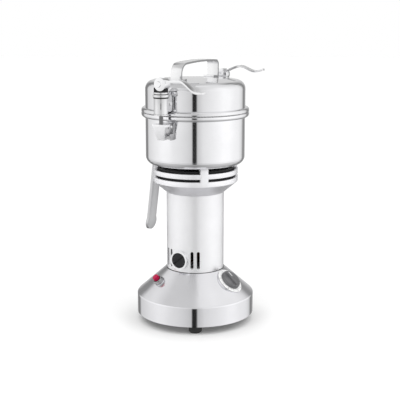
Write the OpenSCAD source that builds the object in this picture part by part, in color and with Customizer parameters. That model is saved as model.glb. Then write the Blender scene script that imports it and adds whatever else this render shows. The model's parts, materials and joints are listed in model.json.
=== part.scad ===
// Upright electric coffee grinder: a slim motor column on a round base carries a steel bowl
// with a lid that two cam latches clamp down. Millimetres. The origin is on the floor under the
// motor's axis, +Z is up and the front faces -Y.

/* [Base] */
// Outer diameter of the base skirt
base_d = 165; // [150:1:180]
// Height of the straight skirt
skirt_h = 27.3; // [24:0.1:34]
// Height of the cone between skirt and column
cone_h = 36.5; // [34:0.1:42]
// Sheet thickness of the base shell
base_wall = 1.5; // [1:0.1:2]
// How far the cone's top stands out from the column
neck_lip = 1.2; // [0.8:0.1:2]
// Radius of the bend between skirt and cone
skirt_bend = 2.5; // [1:0.1:4]
// Thickness of the bottom cover
cover_t = 1.5; // [1:0.1:2.5]
// Height of the rubber feet
foot_h = 11.5; // [9:0.1:16]
// Diameter of the rubber feet
foot_d = 18.4; // [15:0.1:20]
// Distance of the feet's centres from the skirt
foot_inset = 15.5; // [13.5:0.5:20]
// Radius of the foot screws
foot_screw_r = 2; // [1.5:0.1:2.5]
// Reach of the foot screws above the bottom cover
foot_screw_reach = 10; // [8:0.5:12]

/* [Cord inlet] */
// Radius of the bore that the mains cord passes
inlet_bore_r = 3.75; // [3:0.05:4.5]
// Radius of the grommet where it passes the skirt
inlet_neck_r = 6.5; // [5.5:0.1:8]
// Height of the inlet above the skirt's lower edge
inlet_up = 14; // [11:0.5:17]

/* [Controls] */
// Direction of the timer knob, from the front towards +X
timer_az = 57; // [50:1:65]
// Gap along the cone between the dial plate and the neck
timer_gap = 1.25; // [1:0.05:3]
// Radius of the dial plate
dial_r = 19.5; // [17:0.1:20.5]
// Thickness of the dial plate
dial_t = 1; // [0.6:0.1:1.5]
// Radius of the timer knob
knob_r = 14.8; // [13:0.1:16]
// Height of the knob's round body
knob_h = 4.6; // [4.2:0.1:9]
// Height of the knob's grip bar above its body
grip_h = 2.6; // [2.2:0.1:5]
// Width of the knob's grip bar
grip_w = 8.4; // [8:0.1:9]
// Radius of the timer's threaded bush
timer_bush_r = 5; // [4.5:0.1:6]
// Radius of the timer's spindle
spindle_r = 3; // [2.5:0.1:3.5]
// Side of the timer's case
timer_case_w = 32; // [26:0.5:34]
// Depth of the timer's case
timer_case_h = 20; // [16:0.5:22]
// Direction of the overload reset button
reset_az = -60; // [-66:1:-54]
// Place of the reset button on the cone, as a share of the way from neck to skirt
reset_share = 0.4; // [0.34:0.01:0.48]
// Radius of the reset button
button_r = 4.4; // [3.5:0.1:4.8]
// How far the reset button stands out of its bush
button_out = 5; // [4:0.1:7]
// Radius of the breaker's threaded bush
breaker_bush_r = 5.6; // [5.2:0.1:6.2]
// How far the breaker's bush stands out of the cone
breaker_bush_out = 6; // [5:0.1:8]
// Radius of the breaker's round nut
breaker_nut_r = 7.4; // [7:0.1:8.2]

/* [Motor column] */
// Outer diameter of the motor column
column_d = 80.6; // [78:0.1:84]
// Height of the motor column
column_h = 109.2; // [106:0.1:120]
// Wall of the motor column
column_wall = 1.6; // [1.2:0.1:2]
// Thickness of the column's inner foot flange
flange_t = 2.5; // [2:0.1:3]
// Inner radius of the column's foot flange
flange_r = 31; // [29:0.5:32]
// Turn of everything above the base about the axis
body_turn = -31; // [-45:1:0]
// Height of the brushes above the column's foot
brush_up = 18.2; // [17.5:0.1:20]
// Outer radius of the brush bezels
bezel_r = 13; // [12.4:0.1:14]
// Distance of the bezels' faces from the axis
bezel_face = 45.3; // [44.5:0.1:47]
// Radius of the screw-in brush caps
brush_cap_r = 10.5; // [9.8:0.1:10.8]
// Width of the vent slots
vent_w = 4.2; // [3:0.1:5]
// Length of the vent slots
vent_l = 25; // [18:0.5:27]
// Angles of the vent slots beside each brush cap
vent_angles = [24.5, 37];

/* [Collar] */
// Outer diameter of the vented collar
collar_d = 119; // [114:0.5:124]
// Height of the cone under the collar
collar_cone_h = 15.9; // [13:0.1:20]
// Height of the collar's lower ring
low_ring_h = 6.8; // [5:0.1:9]
// Height of the lower air gap
low_gap_h = 4.1; // [3:0.1:6]
// Height of the collar's middle ring
mid_ring_h = 6.5; // [5:0.1:9]
// Height of the upper air gap
top_gap_h = 6.6; // [5.5:0.1:9]
// Wall of the collar's rings
collar_wall = 3; // [2:0.1:4]
// Width of the four ribs across the air gaps
rib_w = 11; // [8:0.5:14]
// Turn of the four ribs from the latches
rib_az = 43; // [38:0.5:52]
// Width of the side handle's strap
side_handle_w = 18.4; // [17:0.1:24]
// Thickness of the side handle's strap
side_handle_t = 4; // [3:0.1:5]
// Length of the side handle below the collar
side_handle_l = 80; // [60:1:90]
// Outward lean of the side handle, in degrees
side_handle_lean = 7.3; // [4:0.1:10]

/* [Bowl] */
// Outer diameter of the bowl
bowl_d = 137.6; // [134:0.1:140]
// Height of the bowl up to the seam
bowl_h = 72.6; // [68:0.1:84]
// Wall of the bowl
bowl_wall = 1.2; // [0.8:0.1:1.6]
// Radius of the bowl's lower corner
bowl_corner = 11; // [9:0.1:13]
// How far the rolled rims stand out from the bowl
rim_out = 5.6; // [4.5:0.1:6]
// Height of the bowl's rolled rim
bowl_rim_h = 6.6; // [5.5:0.1:8]

/* [Lid] */
// How far the lid's wall stands out past the bowl's
lid_over = 0.2; // [0.1:0.05:0.6]
// Height of the lid's edge above the seam
lid_h = 43; // [40:0.1:50]
// Wall of the lid
lid_wall = 1.2; // [0.8:0.1:1.6]
// Radius of the lid's shoulder
lid_shoulder = 12; // [9:0.1:14]
// Rise of the lid's domed top
lid_dome = 2.4; // [1.5:0.1:4]
// Height of the lid's rolled rim
lid_rim_h = 6; // [5:0.1:7]
// Thickness of the lid's gasket
gasket_t = 0.8; // [0.6:0.1:1.4]
// Length of the lid handle
handle_l = 100; // [90:1:106]
// Width of the lid handle's strap
handle_w = 17; // [14:0.1:20]
// Thickness of the lid handle's strap
handle_t = 2.5; // [2:0.1:3.5]
// Height of the lid handle above the lid's edge
handle_h = 25.5; // [25:0.5:36]
// Outer radius of the lid handle's front bend
handle_front_bend = 15; // [9:0.5:20]
// Outer radius of the lid handle's rear bend
handle_rear_bend = 7; // [5:0.5:20]

/* [Latches] */
// Distance of the latches' line from the rolled rim
latch_out = 12.1; // [11.8:0.1:13.6]
// Height of the latch pivots above the seam
pivot_up = 18; // [17.5:0.1:20]
// Radius of the latch pivot pins
pivot_r = 2; // [1.6:0.1:2.2]
// Distance of the pivot pins behind the rods
pivot_back = 8; // [7.8:0.1:8.6]
// Radius of the latch barrels
barrel_r = 9.4; // [8.8:0.1:9.6]
// Length of a barrel below its pivot
barrel_below = 15; // [13:0.1:15.5]
// Length of a barrel above its pivot
barrel_above = 8.6; // [8:0.1:9.5]
// Radius of the latch rods
rod_r = 2.7; // [2.2:0.1:3]
// Height of the cam pins above the pivots
cam_up = 25.5; // [24.5:0.1:27]
// Radius of the cams
cam_r = 8.6; // [8:0.1:9]
// Offset of a cam's centre from its pin
cam_offset = 2; // [1:0.1:2.4]
// Width of the cams
cam_w = 13; // [12:0.1:14]
// Width of the levers' straps
lever_w = 10; // [8:0.1:12]
// Thickness of the levers' straps
lever_t = 2.8; // [2.2:0.1:3.4]
// Reach of the levers from their pins
lever_l = 65; // [60:0.5:74]
// Rise of the levers' humps above their pins
lever_hump = 5; // [4:0.5:7]
// Drop of the levers' tips below their pins
lever_drop = 9; // [7:0.5:11]
// Lift of the rear lever above the front lever's angle
rear_lever_lift = 16; // [0:1:18]
// Turn of the rear latch from the place opposite the front one
rear_latch_turn = 5; // [0:0.5:6]
// Width of the claws at the top
claw_w = 21; // [18:0.1:26]
// Drop of the claws' toes below the pivots
claw_drop = 48; // [46:0.1:50]
// Sheet thickness of brackets, claws and catches
bracket_t = 2; // [1.6:0.1:2.4]
// Height of the catches
catch_h = 22; // [20:0.1:24]
// Height of a catch's shelf above its lower edge
shelf_up = 5.4; // [5.2:0.1:6.5]
// Half width of the catches
catch_half_w = 9; // [8.5:0.1:12]

/* [Motor] */
// Radius of the motor shaft
shaft_r = 5; // [4.5:0.1:5]
// Radius of the threaded shaft end that carries the blades
shaft_end_r = 4; // [3.5:0.1:4.3]
// Radius of the armature
armature_r = 20; // [18:0.1:20.5]
// Length of the armature's core
armature_l = 38; // [34:0.5:40]
// Radius of the commutator
commutator_r = 12.5; // [11:0.1:13]
// Radius of the cooling fan
fan_r = 34; // [30:0.5:36]
// Outer radius of the ball bearings
bearing_r = 13; // [13:0.1:14]
// Width of the ball bearings
bearing_w = 8; // [7:0.1:9]
// Turns in a brush spring
spring_turns = 4; // [3:1:5]

/* [Blades] */
// Reach of the blades from the axis
blade_r = 56; // [45:0.5:60]
// Width of the blades at the root
blade_w = 17; // [14:0.5:20]
// Thickness of the blades
blade_t = 2; // [1.5:0.1:2.5]
// Height of the lower blade above the bowl's floor
blade_up = 9; // [8:0.1:12]
// Distance between the blades
blade_gap = 16; // [12:0.5:20]

/* [Hidden] */
$fn = 64;
eps = 0.5;
// Gaps: seated pieces, running fits, pieces pressed or screwed together, and pieces that pass each other
seat_gap = 0.05;
run_gap = 0.05;
fit_gap = 0.02;
clear_gap = 0.3;

base_r = base_d / 2;
column_r = column_d / 2;
column_in = column_r - column_wall;
collar_r = collar_d / 2;
bowl_r = bowl_d / 2;
bowl_in = bowl_r - bowl_wall;
lid_r = bowl_r + lid_over;
neck_r = column_r + neck_lip;
rim_r = bowl_r + rim_out;
latch_r = rim_r + latch_out;

z_skirt = foot_h;
z_bend = z_skirt + skirt_h;
z_column = z_bend + cone_h;
z_column_top = z_column + column_h;
z_low_ring = z_column_top + collar_cone_h;
z_low_gap = z_low_ring + low_ring_h;
z_mid_ring = z_low_gap + low_gap_h;
z_top_gap = z_mid_ring + mid_ring_h;
z_bowl = z_top_gap + top_gap_h;
z_floor = z_bowl + bowl_wall;
z_seam = z_bowl + bowl_h;
z_lid_edge = z_seam + lid_h;
z_pivot = z_seam + pivot_up;
z_brush = z_column + brush_up;

cone_a = atan2(cone_h, base_r - neck_r);
cone_inner_drop = base_wall / cos(cone_a);
foot_circle_r = base_r - foot_inset;
timer_r = neck_r + (dial_r + timer_gap) * cos(cone_a);
reset_r = neck_r + (base_r - neck_r) * reset_share;

// Points of an arc about c, from angle a0 to a1
function arc(c, r, a0, a1, n = 8) =
    [for (i = [0 : n]) let (a = a0 + (a1 - a0) * i / n) [c[0] + r * cos(a), c[1] + r * sin(a)]];

// Height of the cone's outer face at radius r
function cone_z(r) = z_bend + (base_r - r) * tan(cone_a);

module turned() {
    rotate([0, 0, body_turn]) children();
}

// Copies on a circle, the first one at the angle first
module ring_of(count, radius, first = 0) {
    for (i = [0 : count - 1])
        rotate([0, 0, first + 360 * i / count])
            translate([radius, 0, 0]) children();
}

module tube(r_out, r_in, h) {
    difference() {
        cylinder(r = r_out, h = h);
        translate([0, 0, -eps]) cylinder(r = r_in, h = h + 2 * eps);
    }
}

// A frame on the base cone: +Z out of the cone, -Y down the slope
module on_cone(az, r) {
    rotate([0, 0, az])
        translate([0, -r, cone_z(r)])
            rotate([cone_a, 0, 0]) children();
}

// A frame looking out along +Z from the axis, at height z, for the front or the rear of the body
module facing(side, z) {
    turned()
        rotate([0, 0, side == "front" ? 0 : 180])
            translate([0, 0, z])
                rotate([90, 0, 0]) children();
}

// A latch's frame: the origin is on its rod at its pivot's height, -Y points away from the axis and the
// lever is towards +X
module latch(side) {
    turned()
        rotate([0, 0, side == "front" ? 0 : rear_latch_turn])
            mirror([0, side == "front" ? 0 : 1, 0])
                translate([0, -latch_r, z_pivot]) children();
}

// Base

// Depth of the controls' seats under the cone's face, and rise of their flat pads above it
control_seat = 3.6;
pad_rise = 0.3;
timer_pad_r = dial_r + 0.6;
breaker_pad_r = breaker_nut_r + 0.8;
screw_boss_r = foot_screw_r + 3;
column_screw_r = 1.9;
column_screw_circle = (flange_r + column_in) / 2;
foot_screw_l = cover_t + foot_screw_reach;
foot_seat = foot_h * 0.435;

module base_outline() {
    bend = skirt_bend * tan(cone_a / 2) < skirt_h ? skirt_bend : skirt_h;
    bend_c = [base_r - bend, z_bend - bend * tan((90 - cone_a) / 2)];
    polygon(concat(
        [[0, z_skirt], [base_r, z_skirt]],
        arc(bend_c, bend, 0, 90 - cone_a),
        [[neck_r, z_column], [0, z_column]]
    ));
}

module base_hollow() {
    wall_r = base_r - base_wall;
    top_r = base_r - (cone_h - base_wall + cone_inner_drop) / tan(cone_a);
    polygon([
        [0, z_skirt - eps], [wall_r, z_skirt - eps],
        [wall_r, z_bend - cone_inner_drop + base_wall * tan(cone_a)],
        [top_r, z_column - base_wall], [0, z_column - base_wall]
    ]);
}

module control_pad(az, r, pad_r) {
    on_cone(az, r) translate([0, 0, -control_seat]) cylinder(r = pad_r, h = control_seat + pad_rise);
}

module base_shell() {
    color("gainsboro") difference() {
        union() {
            difference() {
                rotate_extrude() base_outline();
                rotate_extrude() base_hollow();
            }
            intersection() {
                ring_of(4, foot_circle_r, -90)
                    translate([0, 0, z_skirt + cover_t]) cylinder(r = screw_boss_r, h = z_column);
                rotate_extrude() base_outline();
            }
            control_pad(timer_az, timer_r, timer_pad_r);
            control_pad(reset_az, reset_r, breaker_pad_r);
        }
        translate([0, 0, z_column - base_wall - eps]) cylinder(r = flange_r, h = base_wall + 2 * eps);
        turned() ring_of(4, column_screw_circle, 45)
            translate([0, 0, z_column - base_wall - eps])
                cylinder(r = column_screw_r + clear_gap, h = base_wall + 2 * eps);
        ring_of(4, foot_circle_r, -90)
            cylinder(r = foot_screw_r + fit_gap, h = z_skirt + foot_screw_l + 2);
        on_cone(timer_az, timer_r)
            translate([0, 0, -control_seat - eps])
                cylinder(r = timer_bush_r + clear_gap, h = 2 * control_seat);
        on_cone(reset_az, reset_r)
            translate([0, 0, -control_seat - eps])
                cylinder(r = breaker_bush_r + clear_gap, h = 2 * control_seat);
        translate([0, base_r - 5 * base_wall, z_skirt + inlet_up])
            rotate([-90, 0, 0]) cylinder(r = inlet_neck_r + seat_gap, h = 10 * base_wall);
    }
}

module bottom_cover() {
    cover_r = base_r - base_wall - clear_gap;
    vent_in = 22;
    vent_out = 44;
    vent_half_w = 2.5;
    color("silver") translate([0, 0, z_skirt]) difference() {
        cylinder(r = cover_r, h = cover_t);
        ring_of(4, foot_circle_r, -90)
            translate([0, 0, -eps]) cylinder(r = foot_screw_r + clear_gap, h = cover_t + 2 * eps);
        ring_of(12, vent_in)
            translate([0, -vent_half_w, -eps])
                cube([vent_out - vent_in, 2 * vent_half_w, cover_t + 2 * eps]);
    }
}

module rubber_feet() {
    foot_r = foot_d / 2;
    chamfer = 1.6;
    recess_r = foot_screw_r + 3;
    color("dimgray") ring_of(4, foot_circle_r, -90) rotate_extrude() polygon([
        [recess_r, 0], [foot_r - chamfer, 0], [foot_r, chamfer * 1.4], [foot_r, foot_h],
        [foot_screw_r + clear_gap, foot_h], [foot_screw_r + clear_gap, foot_seat], [recess_r, foot_seat]
    ]);
}

module foot_screws() {
    head_r = 2 * foot_screw_r;
    head_h = 1.2 * foot_screw_r;
    color("lightgray") ring_of(4, foot_circle_r, -90) difference() {
        union() {
            translate([0, 0, foot_seat - head_h]) cylinder(r = head_r, h = head_h);
            translate([0, 0, foot_seat - head_h])
                cylinder(r = foot_screw_r, h = foot_h - foot_seat + head_h + foot_screw_l);
        }
        translate([-0.5, -2 * head_r, foot_seat - head_h - eps]) cube([1, 4 * head_r, 1 + eps]);
    }
}

module cord_grommet() {
    flange = 2.6;
    inner = 5;
    color("dimgray") translate([0, 0, z_skirt + inlet_up]) difference() {
        union() {
            translate([0, base_r - inner - base_wall, 0])
                rotate([-90, 0, 0]) cylinder(r = inlet_neck_r, h = inner + base_wall + flange);
            intersection() {
                translate([0, base_r - flange, 0])
                    rotate([-90, 0, 0]) cylinder(r = inlet_neck_r + flange, h = 2 * flange);
                translate([0, 0, -base_r]) tube(2 * base_r, base_r + seat_gap, 2 * base_r);
            }
            intersection() {
                translate([0, base_r - inner - base_wall, 0])
                    rotate([-90, 0, 0]) cylinder(r = inlet_neck_r + flange / 2, h = inner + base_wall);
                translate([0, 0, -base_r]) cylinder(r = base_r - base_wall - seat_gap, h = 2 * base_r);
            }
        }
        translate([0, base_r - 2 * inner, 0]) rotate([-90, 0, 0]) cylinder(r = inlet_bore_r, h = 4 * inner);
    }
}

// Controls

timer_bush_top = pad_rise + dial_t + 3;
nut_h = 2.4;
knob_gap = 0.6;
knob_base = pad_rise + dial_t + knob_gap;
spindle_top = knob_base + knob_h + grip_h - 1;
breaker_case = [14, 26, 22];

module timer_body() {
    tab = [3, 1, 6];
    case_z = -control_seat - timer_case_h;
    color("dimgray") on_cone(timer_az, timer_r) difference() {
        union() {
            translate([-timer_case_w / 2, -timer_case_w / 2, case_z])
                cube([timer_case_w, timer_case_w, timer_case_h]);
            translate([0, 0, -control_seat - eps])
                cylinder(r = timer_bush_r, h = control_seat + timer_bush_top + eps);
            for (s = [-1, 1])
                translate([s * timer_case_w / 4 - tab[0] / 2, 0, case_z - tab[2]])
                    cube([tab[0], tab[1], tab[2] + eps]);
        }
        translate([0, 0, case_z / 2]) cylinder(r = spindle_r + run_gap, h = timer_case_h + timer_bush_top);
    }
}

module timer_nut() {
    color("silver") on_cone(timer_az, timer_r) translate([0, 0, pad_rise + dial_t]) difference() {
        cylinder(r = timer_bush_r + 3, h = nut_h, $fn = 6);
        translate([0, 0, -eps]) cylinder(r = timer_bush_r + fit_gap, h = nut_h + 2 * eps);
    }
}

module dial_plate() {
    color("white") on_cone(timer_az, timer_r) translate([0, 0, pad_rise])
        tube(dial_r, timer_bush_r + clear_gap, dial_t);
}

module timer_spindle() {
    color("silver") on_cone(timer_az, timer_r)
        translate([0, 0, (-control_seat - timer_case_h) / 2 + clear_gap])
            cylinder(r = spindle_r, h = spindle_top - (-control_seat - timer_case_h) / 2 - clear_gap);
}

module timer_knob() {
    skirt_taper = 0.8;
    recess_r = timer_bush_r + 4;
    recess_h = timer_bush_top - knob_base + 0.6;
    color("dimgray") on_cone(timer_az, timer_r) translate([0, 0, knob_base]) difference() {
        union() {
            rotate_extrude() polygon(concat(
                [[0, 0], [knob_r, 0]],
                arc([knob_r - skirt_taper - 1, knob_h - 1], 1, 10, 90, 4),
                [[0, knob_h]]
            ));
            intersection() {
                translate([-grip_w / 2, -knob_r, knob_h - eps]) cube([grip_w, 2 * knob_r, grip_h + eps]);
                cylinder(r1 = knob_r - 0.5, r2 = knob_r - 3.5, h = knob_h + grip_h);
            }
        }
        translate([0, 0, -eps]) cylinder(r = recess_r, h = recess_h + eps);
        translate([0, 0, -eps])
            cylinder(r = spindle_r + fit_gap, h = spindle_top - knob_base + fit_gap + eps);
    }
}

module breaker_body() {
    bore_depth = 12;
    color("dimgray") on_cone(reset_az, reset_r) difference() {
        union() {
            translate([-breaker_case[0] / 2, -breaker_case[1] / 2, -control_seat - breaker_case[2]])
                cube(breaker_case);
            translate([0, 0, -control_seat - eps])
                cylinder(r = breaker_bush_r, h = control_seat + breaker_bush_out + eps);
        }
        translate([0, 0, breaker_bush_out - bore_depth])
            cylinder(r = button_r + clear_gap, h = bore_depth + eps);
    }
}

module breaker_nut() {
    sleeve_r = breaker_bush_r + 1;
    sleeve_h = breaker_bush_out - pad_rise;
    color("silver") on_cone(reset_az, reset_r) translate([0, 0, pad_rise]) difference() {
        rotate_extrude() polygon([
            [breaker_bush_r + fit_gap, 0], [breaker_nut_r, 0], [breaker_nut_r, nut_h],
            [sleeve_r, nut_h + 0.6], [sleeve_r, sleeve_h - 0.4], [sleeve_r - 0.4, sleeve_h],
            [breaker_bush_r + fit_gap, sleeve_h]
        ]);
        for (s = [0, 60, 120]) rotate([0, 0, s])
            translate([-2 * breaker_nut_r, -0.8, nut_h - 0.8]) cube([breaker_nut_r + 0.6, 1.6, 2]);
    }
}

module reset_button() {
    stem = 8;
    crown = 0.9;
    color("crimson") on_cone(reset_az, reset_r) translate([0, 0, breaker_bush_out - stem])
        rotate_extrude() polygon(concat(
            [[0, 0], [button_r, 0]],
            arc([button_r - crown, stem + button_out - crown], crown, 0, 90, 5),
            [[0, stem + button_out]]
        ));
}

// A point given in a cone frame, in the part's own frame
function cone_point(az, r, p) =
    let (y = p[1] * cos(cone_a) - p[2] * sin(cone_a) - r,
         z = p[1] * sin(cone_a) + p[2] * cos(cone_a) + cone_z(r))
    [p[0] * cos(az) - y * sin(az), p[0] * sin(az) + y * cos(az), z];

function unit(v) = v / norm(v);

// Rings of points around a bent wire; a ring at a bend lies across both directions
function wire_rings(points, r, sides = 8) = [for (i = [0 : len(points) - 1])
    let (last = len(points) - 1,
         d_in = unit(i > 0 ? points[i] - points[i - 1] : points[1] - points[0]),
         d_out = i < last ? unit(points[i + 1] - points[i]) : d_in,
         d = unit(d_in + d_out),
         u = unit(cross(d, [0, 1, 0])),
         w = cross(u, d))
    [for (j = [0 : sides - 1]) points[i] + r * (cos(360 * j / sides) * u + sin(360 * j / sides) * w)]];

// A closed tube of triangles through rings of points
module tube_through(rings) {
    sides = len(rings[0]);
    end = (len(rings) - 1) * sides;
    points = [for (ring = rings, p = ring) p];
    walls = [for (i = [0 : len(rings) - 2], j = [0 : sides - 1])
        let (k = (j + 1) % sides, p = i * sides, q = p + sides)
        each [[p + j, q + j, q + k], [p + j, q + k, p + k]]];
    caps = [for (j = [1 : sides - 2]) each [[0, j, j + 1], [end, end + j + 1, end + j]]];
    polyhedron(points, concat(walls, caps));
}

module wire(points, r) {
    tube_through(wire_rings(points, r));
}

module internal_leads() {
    lead_r = 1.2;
    tail = 4;
    low = z_skirt + cover_t + 8;
    breaker_z = -control_seat - breaker_case[2] - seat_gap;
    timer_z = -control_seat - timer_case_h - seat_gap;
    breaker_end = cone_point(reset_az, reset_r, [0, -6, breaker_z]);
    breaker_bend = cone_point(reset_az, reset_r, [0, -6, breaker_z - tail]);
    timer_end = cone_point(timer_az, timer_r, [-timer_case_w / 4, -6, timer_z]);
    timer_bend = cone_point(timer_az, timer_r, [-timer_case_w / 4, -6, timer_z - tail]);
    out_end = cone_point(timer_az, timer_r, [timer_case_w / 4, -8, timer_z]);
    out_bend = cone_point(timer_az, timer_r, [timer_case_w / 4, -8, timer_z - tail]);
    holder_x = (flange_r - 5) * sin(body_turn);
    holder_y = -(flange_r - 5) * cos(body_turn);
    color("steelblue") wire([breaker_end, breaker_bend, [breaker_bend[0] / 2, breaker_bend[1], low],
        [timer_bend[0] / 2, timer_bend[1], low], timer_bend, timer_end], lead_r);
    color("indianred") wire([out_end, out_bend, [out_bend[0] * 0.8, out_bend[1] - 6, out_bend[2] - 2],
        [holder_x + 14, holder_y + 2, z_bend], [holder_x, holder_y, z_bend + 12],
        [holder_x, holder_y, z_brush - holder_big_r * 0.7 - clear_gap]], lead_r);
}

// Motor column

holder_big_r = brush_cap_r - 0.2;
holder_small_r = 7;
holder_step = column_in - 6;
holder_out = column_r + 1;
cap_neck_r = 7.8;
cap_neck_l = 5;
cap_top = bezel_face - 0.4;
brush_size = [6, 8, 15];
brush_in = commutator_r + clear_gap;
bracket_z = z_column + flange_t;
bracket_h = 4;

module vent_slot() {
    for (s = [-1, 1])
        translate([0, s * (vent_l - vent_w) / 2, 0]) cylinder(r = vent_w / 2, h = 2 * column_r);
    translate([-vent_w / 2, -(vent_l - vent_w) / 2, 0]) cube([vent_w, vent_l - vent_w, 2 * column_r]);
}

module motor_housing() {
    color("lightgray") difference() {
        union() {
            translate([0, 0, z_column]) tube(column_r, column_in, column_h);
            translate([0, 0, z_column]) tube(column_r, flange_r, flange_t);
            for (side = ["front", "rear"]) difference() {
                facing(side, z_brush) translate([0, 0, column_in / 2])
                    cylinder(r = bezel_r, h = bezel_face - column_in / 2);
                translate([0, 0, z_column]) cylinder(r = column_r - column_wall / 2, h = column_h);
            }
        }
        for (side = ["front", "rear"]) {
            facing(side, z_brush) cylinder(r = brush_cap_r + clear_gap, h = 2 * column_r);
            for (a = vent_angles, s = [-1, 1])
                rotate([0, 0, s * a]) facing(side, z_brush) vent_slot();
        }
        turned() ring_of(4, column_screw_circle, 45)
            translate([0, 0, z_column - eps])
                cylinder(r = column_screw_r + fit_gap, h = flange_t + 2 * eps);
    }
}

module column_screws() {
    head_h = 2.6;
    color("silver") turned() ring_of(4, column_screw_circle, 45)
        translate([0, 0, z_column - base_wall - head_h]) difference() {
            union() {
                cylinder(r = column_screw_r + 1.6, h = head_h);
                cylinder(r = column_screw_r, h = head_h + base_wall + flange_t + bracket_h);
            }
            translate([0, 0, -eps]) cylinder(r = 1.4, h = 1.6 + eps, $fn = 6);
        }
}

module lower_bracket() {
    hub_r = bearing_r + 3;
    arm_w = 9;
    hub_drop = bearing_w + 6;
    color("darkgray") difference() {
        union() {
            translate([0, 0, bracket_z]) tube(column_in - clear_gap, flange_r, bracket_h);
            translate([0, 0, bracket_z + bracket_h - hub_drop]) cylinder(r = hub_r, h = hub_drop);
            turned() for (a = [45, 135])
                rotate([0, 0, a]) translate([-flange_r - 1, -arm_w / 2, bracket_z])
                    cube([2 * flange_r + 2, arm_w, bracket_h]);
        }
        translate([0, 0, bracket_z - hub_drop]) cylinder(r = shaft_r + 3, h = 3 * hub_drop);
        translate([0, 0, bracket_z + bracket_h - hub_drop - eps])
            cylinder(r = bearing_r + fit_gap, h = bearing_w + eps);
        turned() ring_of(4, column_screw_circle, 45)
            translate([0, 0, bracket_z - eps])
                cylinder(r = column_screw_r + fit_gap, h = bracket_h + 2 * eps);
    }
}

lower_bearing_z = bracket_z + bracket_h - bearing_w - 6;
upper_bearing_z = z_low_ring - 4;
race_in = shaft_r + 3;
race_out = bearing_r - 3;
ball_circle = (race_in + race_out) / 2;
ball_r = 1.9;

module ball_groove() {
    rotate_extrude() translate([ball_circle, bearing_w / 2]) circle(r = ball_r + run_gap);
}

module at_bearings() {
    for (z = [lower_bearing_z, upper_bearing_z]) translate([0, 0, z]) children();
}

module ball_bearings() {
    color("silver") at_bearings() {
        difference() {
            tube(bearing_r, race_out, bearing_w);
            ball_groove();
        }
        ring_of(8, ball_circle) translate([0, 0, bearing_w / 2]) sphere(r = ball_r);
    }
}

module bearing_inner_races() {
    color("silver") at_bearings() difference() {
        tube(race_in, shaft_r + fit_gap, bearing_w);
        ball_groove();
    }
}

stator_in = armature_r + 0.6;
shoe_out = stator_in + 5.5;
yoke_in = column_in - 6.5;
neck_w = 20;
coil_t = 6;
core_z = z_brush + holder_big_r + 8;

module stator_core() {
    shoe_a = 52;
    color("slategray") turned() translate([0, 0, core_z]) {
        tube(column_in - clear_gap, yoke_in, armature_l);
        for (s = [0, 180]) rotate([0, 0, s]) {
            intersection() {
                tube(yoke_in + eps, stator_in, armature_l);
                translate([0, -neck_w / 2, 0]) cube([column_r, neck_w, armature_l]);
            }
            intersection() {
                tube(shoe_out, stator_in, armature_l);
                linear_extrude(armature_l) polygon([
                    [0, 0], [2 * shoe_out, -2 * shoe_out * tan(shoe_a)],
                    [2 * shoe_out, 2 * shoe_out * tan(shoe_a)]
                ]);
            }
        }
    }
}

module field_coils() {
    over = 5;
    half_in = neck_w / 2 + clear_gap;
    color("chocolate") turned() for (s = [0, 180]) rotate([0, 0, s]) intersection() {
        translate([0, 0, core_z - over - clear_gap])
            tube(yoke_in - clear_gap, shoe_out + clear_gap, armature_l + 2 * over + 2 * clear_gap);
        difference() {
            translate([0, -half_in - coil_t, core_z - over - clear_gap])
                cube([column_r, 2 * half_in + 2 * coil_t, armature_l + 2 * over + 2 * clear_gap]);
            translate([-eps, -half_in, core_z - clear_gap])
                cube([column_r, 2 * half_in, armature_l + 2 * clear_gap]);
        }
    }
}

module brush_holders() {
    slot = [brush_size[0] + 2 * clear_gap, brush_size[1] + 2 * clear_gap];
    start = brush_in + 1.4;
    color("dimgray") for (side = ["front", "rear"]) facing(side, z_brush) difference() {
        union() {
            translate([0, 0, start]) cylinder(r = holder_small_r, h = holder_step - start + eps);
            translate([0, 0, holder_step]) cylinder(r = holder_big_r, h = holder_out - holder_step);
        }
        translate([-slot[0] / 2, -slot[1] / 2, 0]) cube([slot[0], slot[1], 2 * column_r]);
        translate([0, 0, holder_out - cap_neck_l - clear_gap])
            cylinder(r = cap_neck_r + fit_gap, h = column_r);
    }
}

module carbon_brushes() {
    color("black") for (side = ["front", "rear"]) facing(side, z_brush)
        translate([-brush_size[0] / 2, -brush_size[1] / 2, brush_in]) cube(brush_size);
}

spring_wire_r = 0.35;
spring_coil_r = 2.4;
spring_start = brush_in + brush_size[2] + spring_wire_r + fit_gap;
spring_l = holder_out - cap_neck_l - spring_start - spring_wire_r - fit_gap;

// A helical spring along +Z
module spring(coil_r, wire_r, length, turns) {
    steps = turns * 8;
    sides = 6;
    tube_through([for (i = [0 : steps]) let (a = 360 * turns * i / steps)
        [for (j = [0 : sides - 1]) let (b = 360 * j / sides, r = coil_r + wire_r * cos(b))
            [r * cos(a), r * sin(a), length * i / steps + wire_r * sin(b)]]]);
    echo(str("least gap between the spring's turns: ", length / turns - 2 * wire_r));
}

module brush_springs() {
    color("silver") for (side = ["front", "rear"]) facing(side, z_brush)
        translate([0, 0, spring_start]) spring(spring_coil_r, spring_wire_r, spring_l, spring_turns);
}

module brush_caps() {
    slot_w = 2;
    slot_h = 1.6;
    color("black") for (side = ["front", "rear"]) facing(side, z_brush) difference() {
        union() {
            translate([0, 0, holder_out - cap_neck_l]) cylinder(r = cap_neck_r, h = cap_neck_l + eps);
            translate([0, 0, holder_out + fit_gap]) rotate_extrude() polygon(concat(
                [[0, 0], [brush_cap_r, 0]],
                arc([brush_cap_r - 0.8, cap_top - holder_out - 0.8], 0.8, 0, 90, 4),
                [[0, cap_top - holder_out]]
            ));
        }
        rotate([0, 0, 40]) translate([-2 * brush_cap_r, -slot_w / 2, cap_top - slot_h])
            cube([4 * brush_cap_r, slot_w, slot_h + eps]);
    }
}

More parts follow.
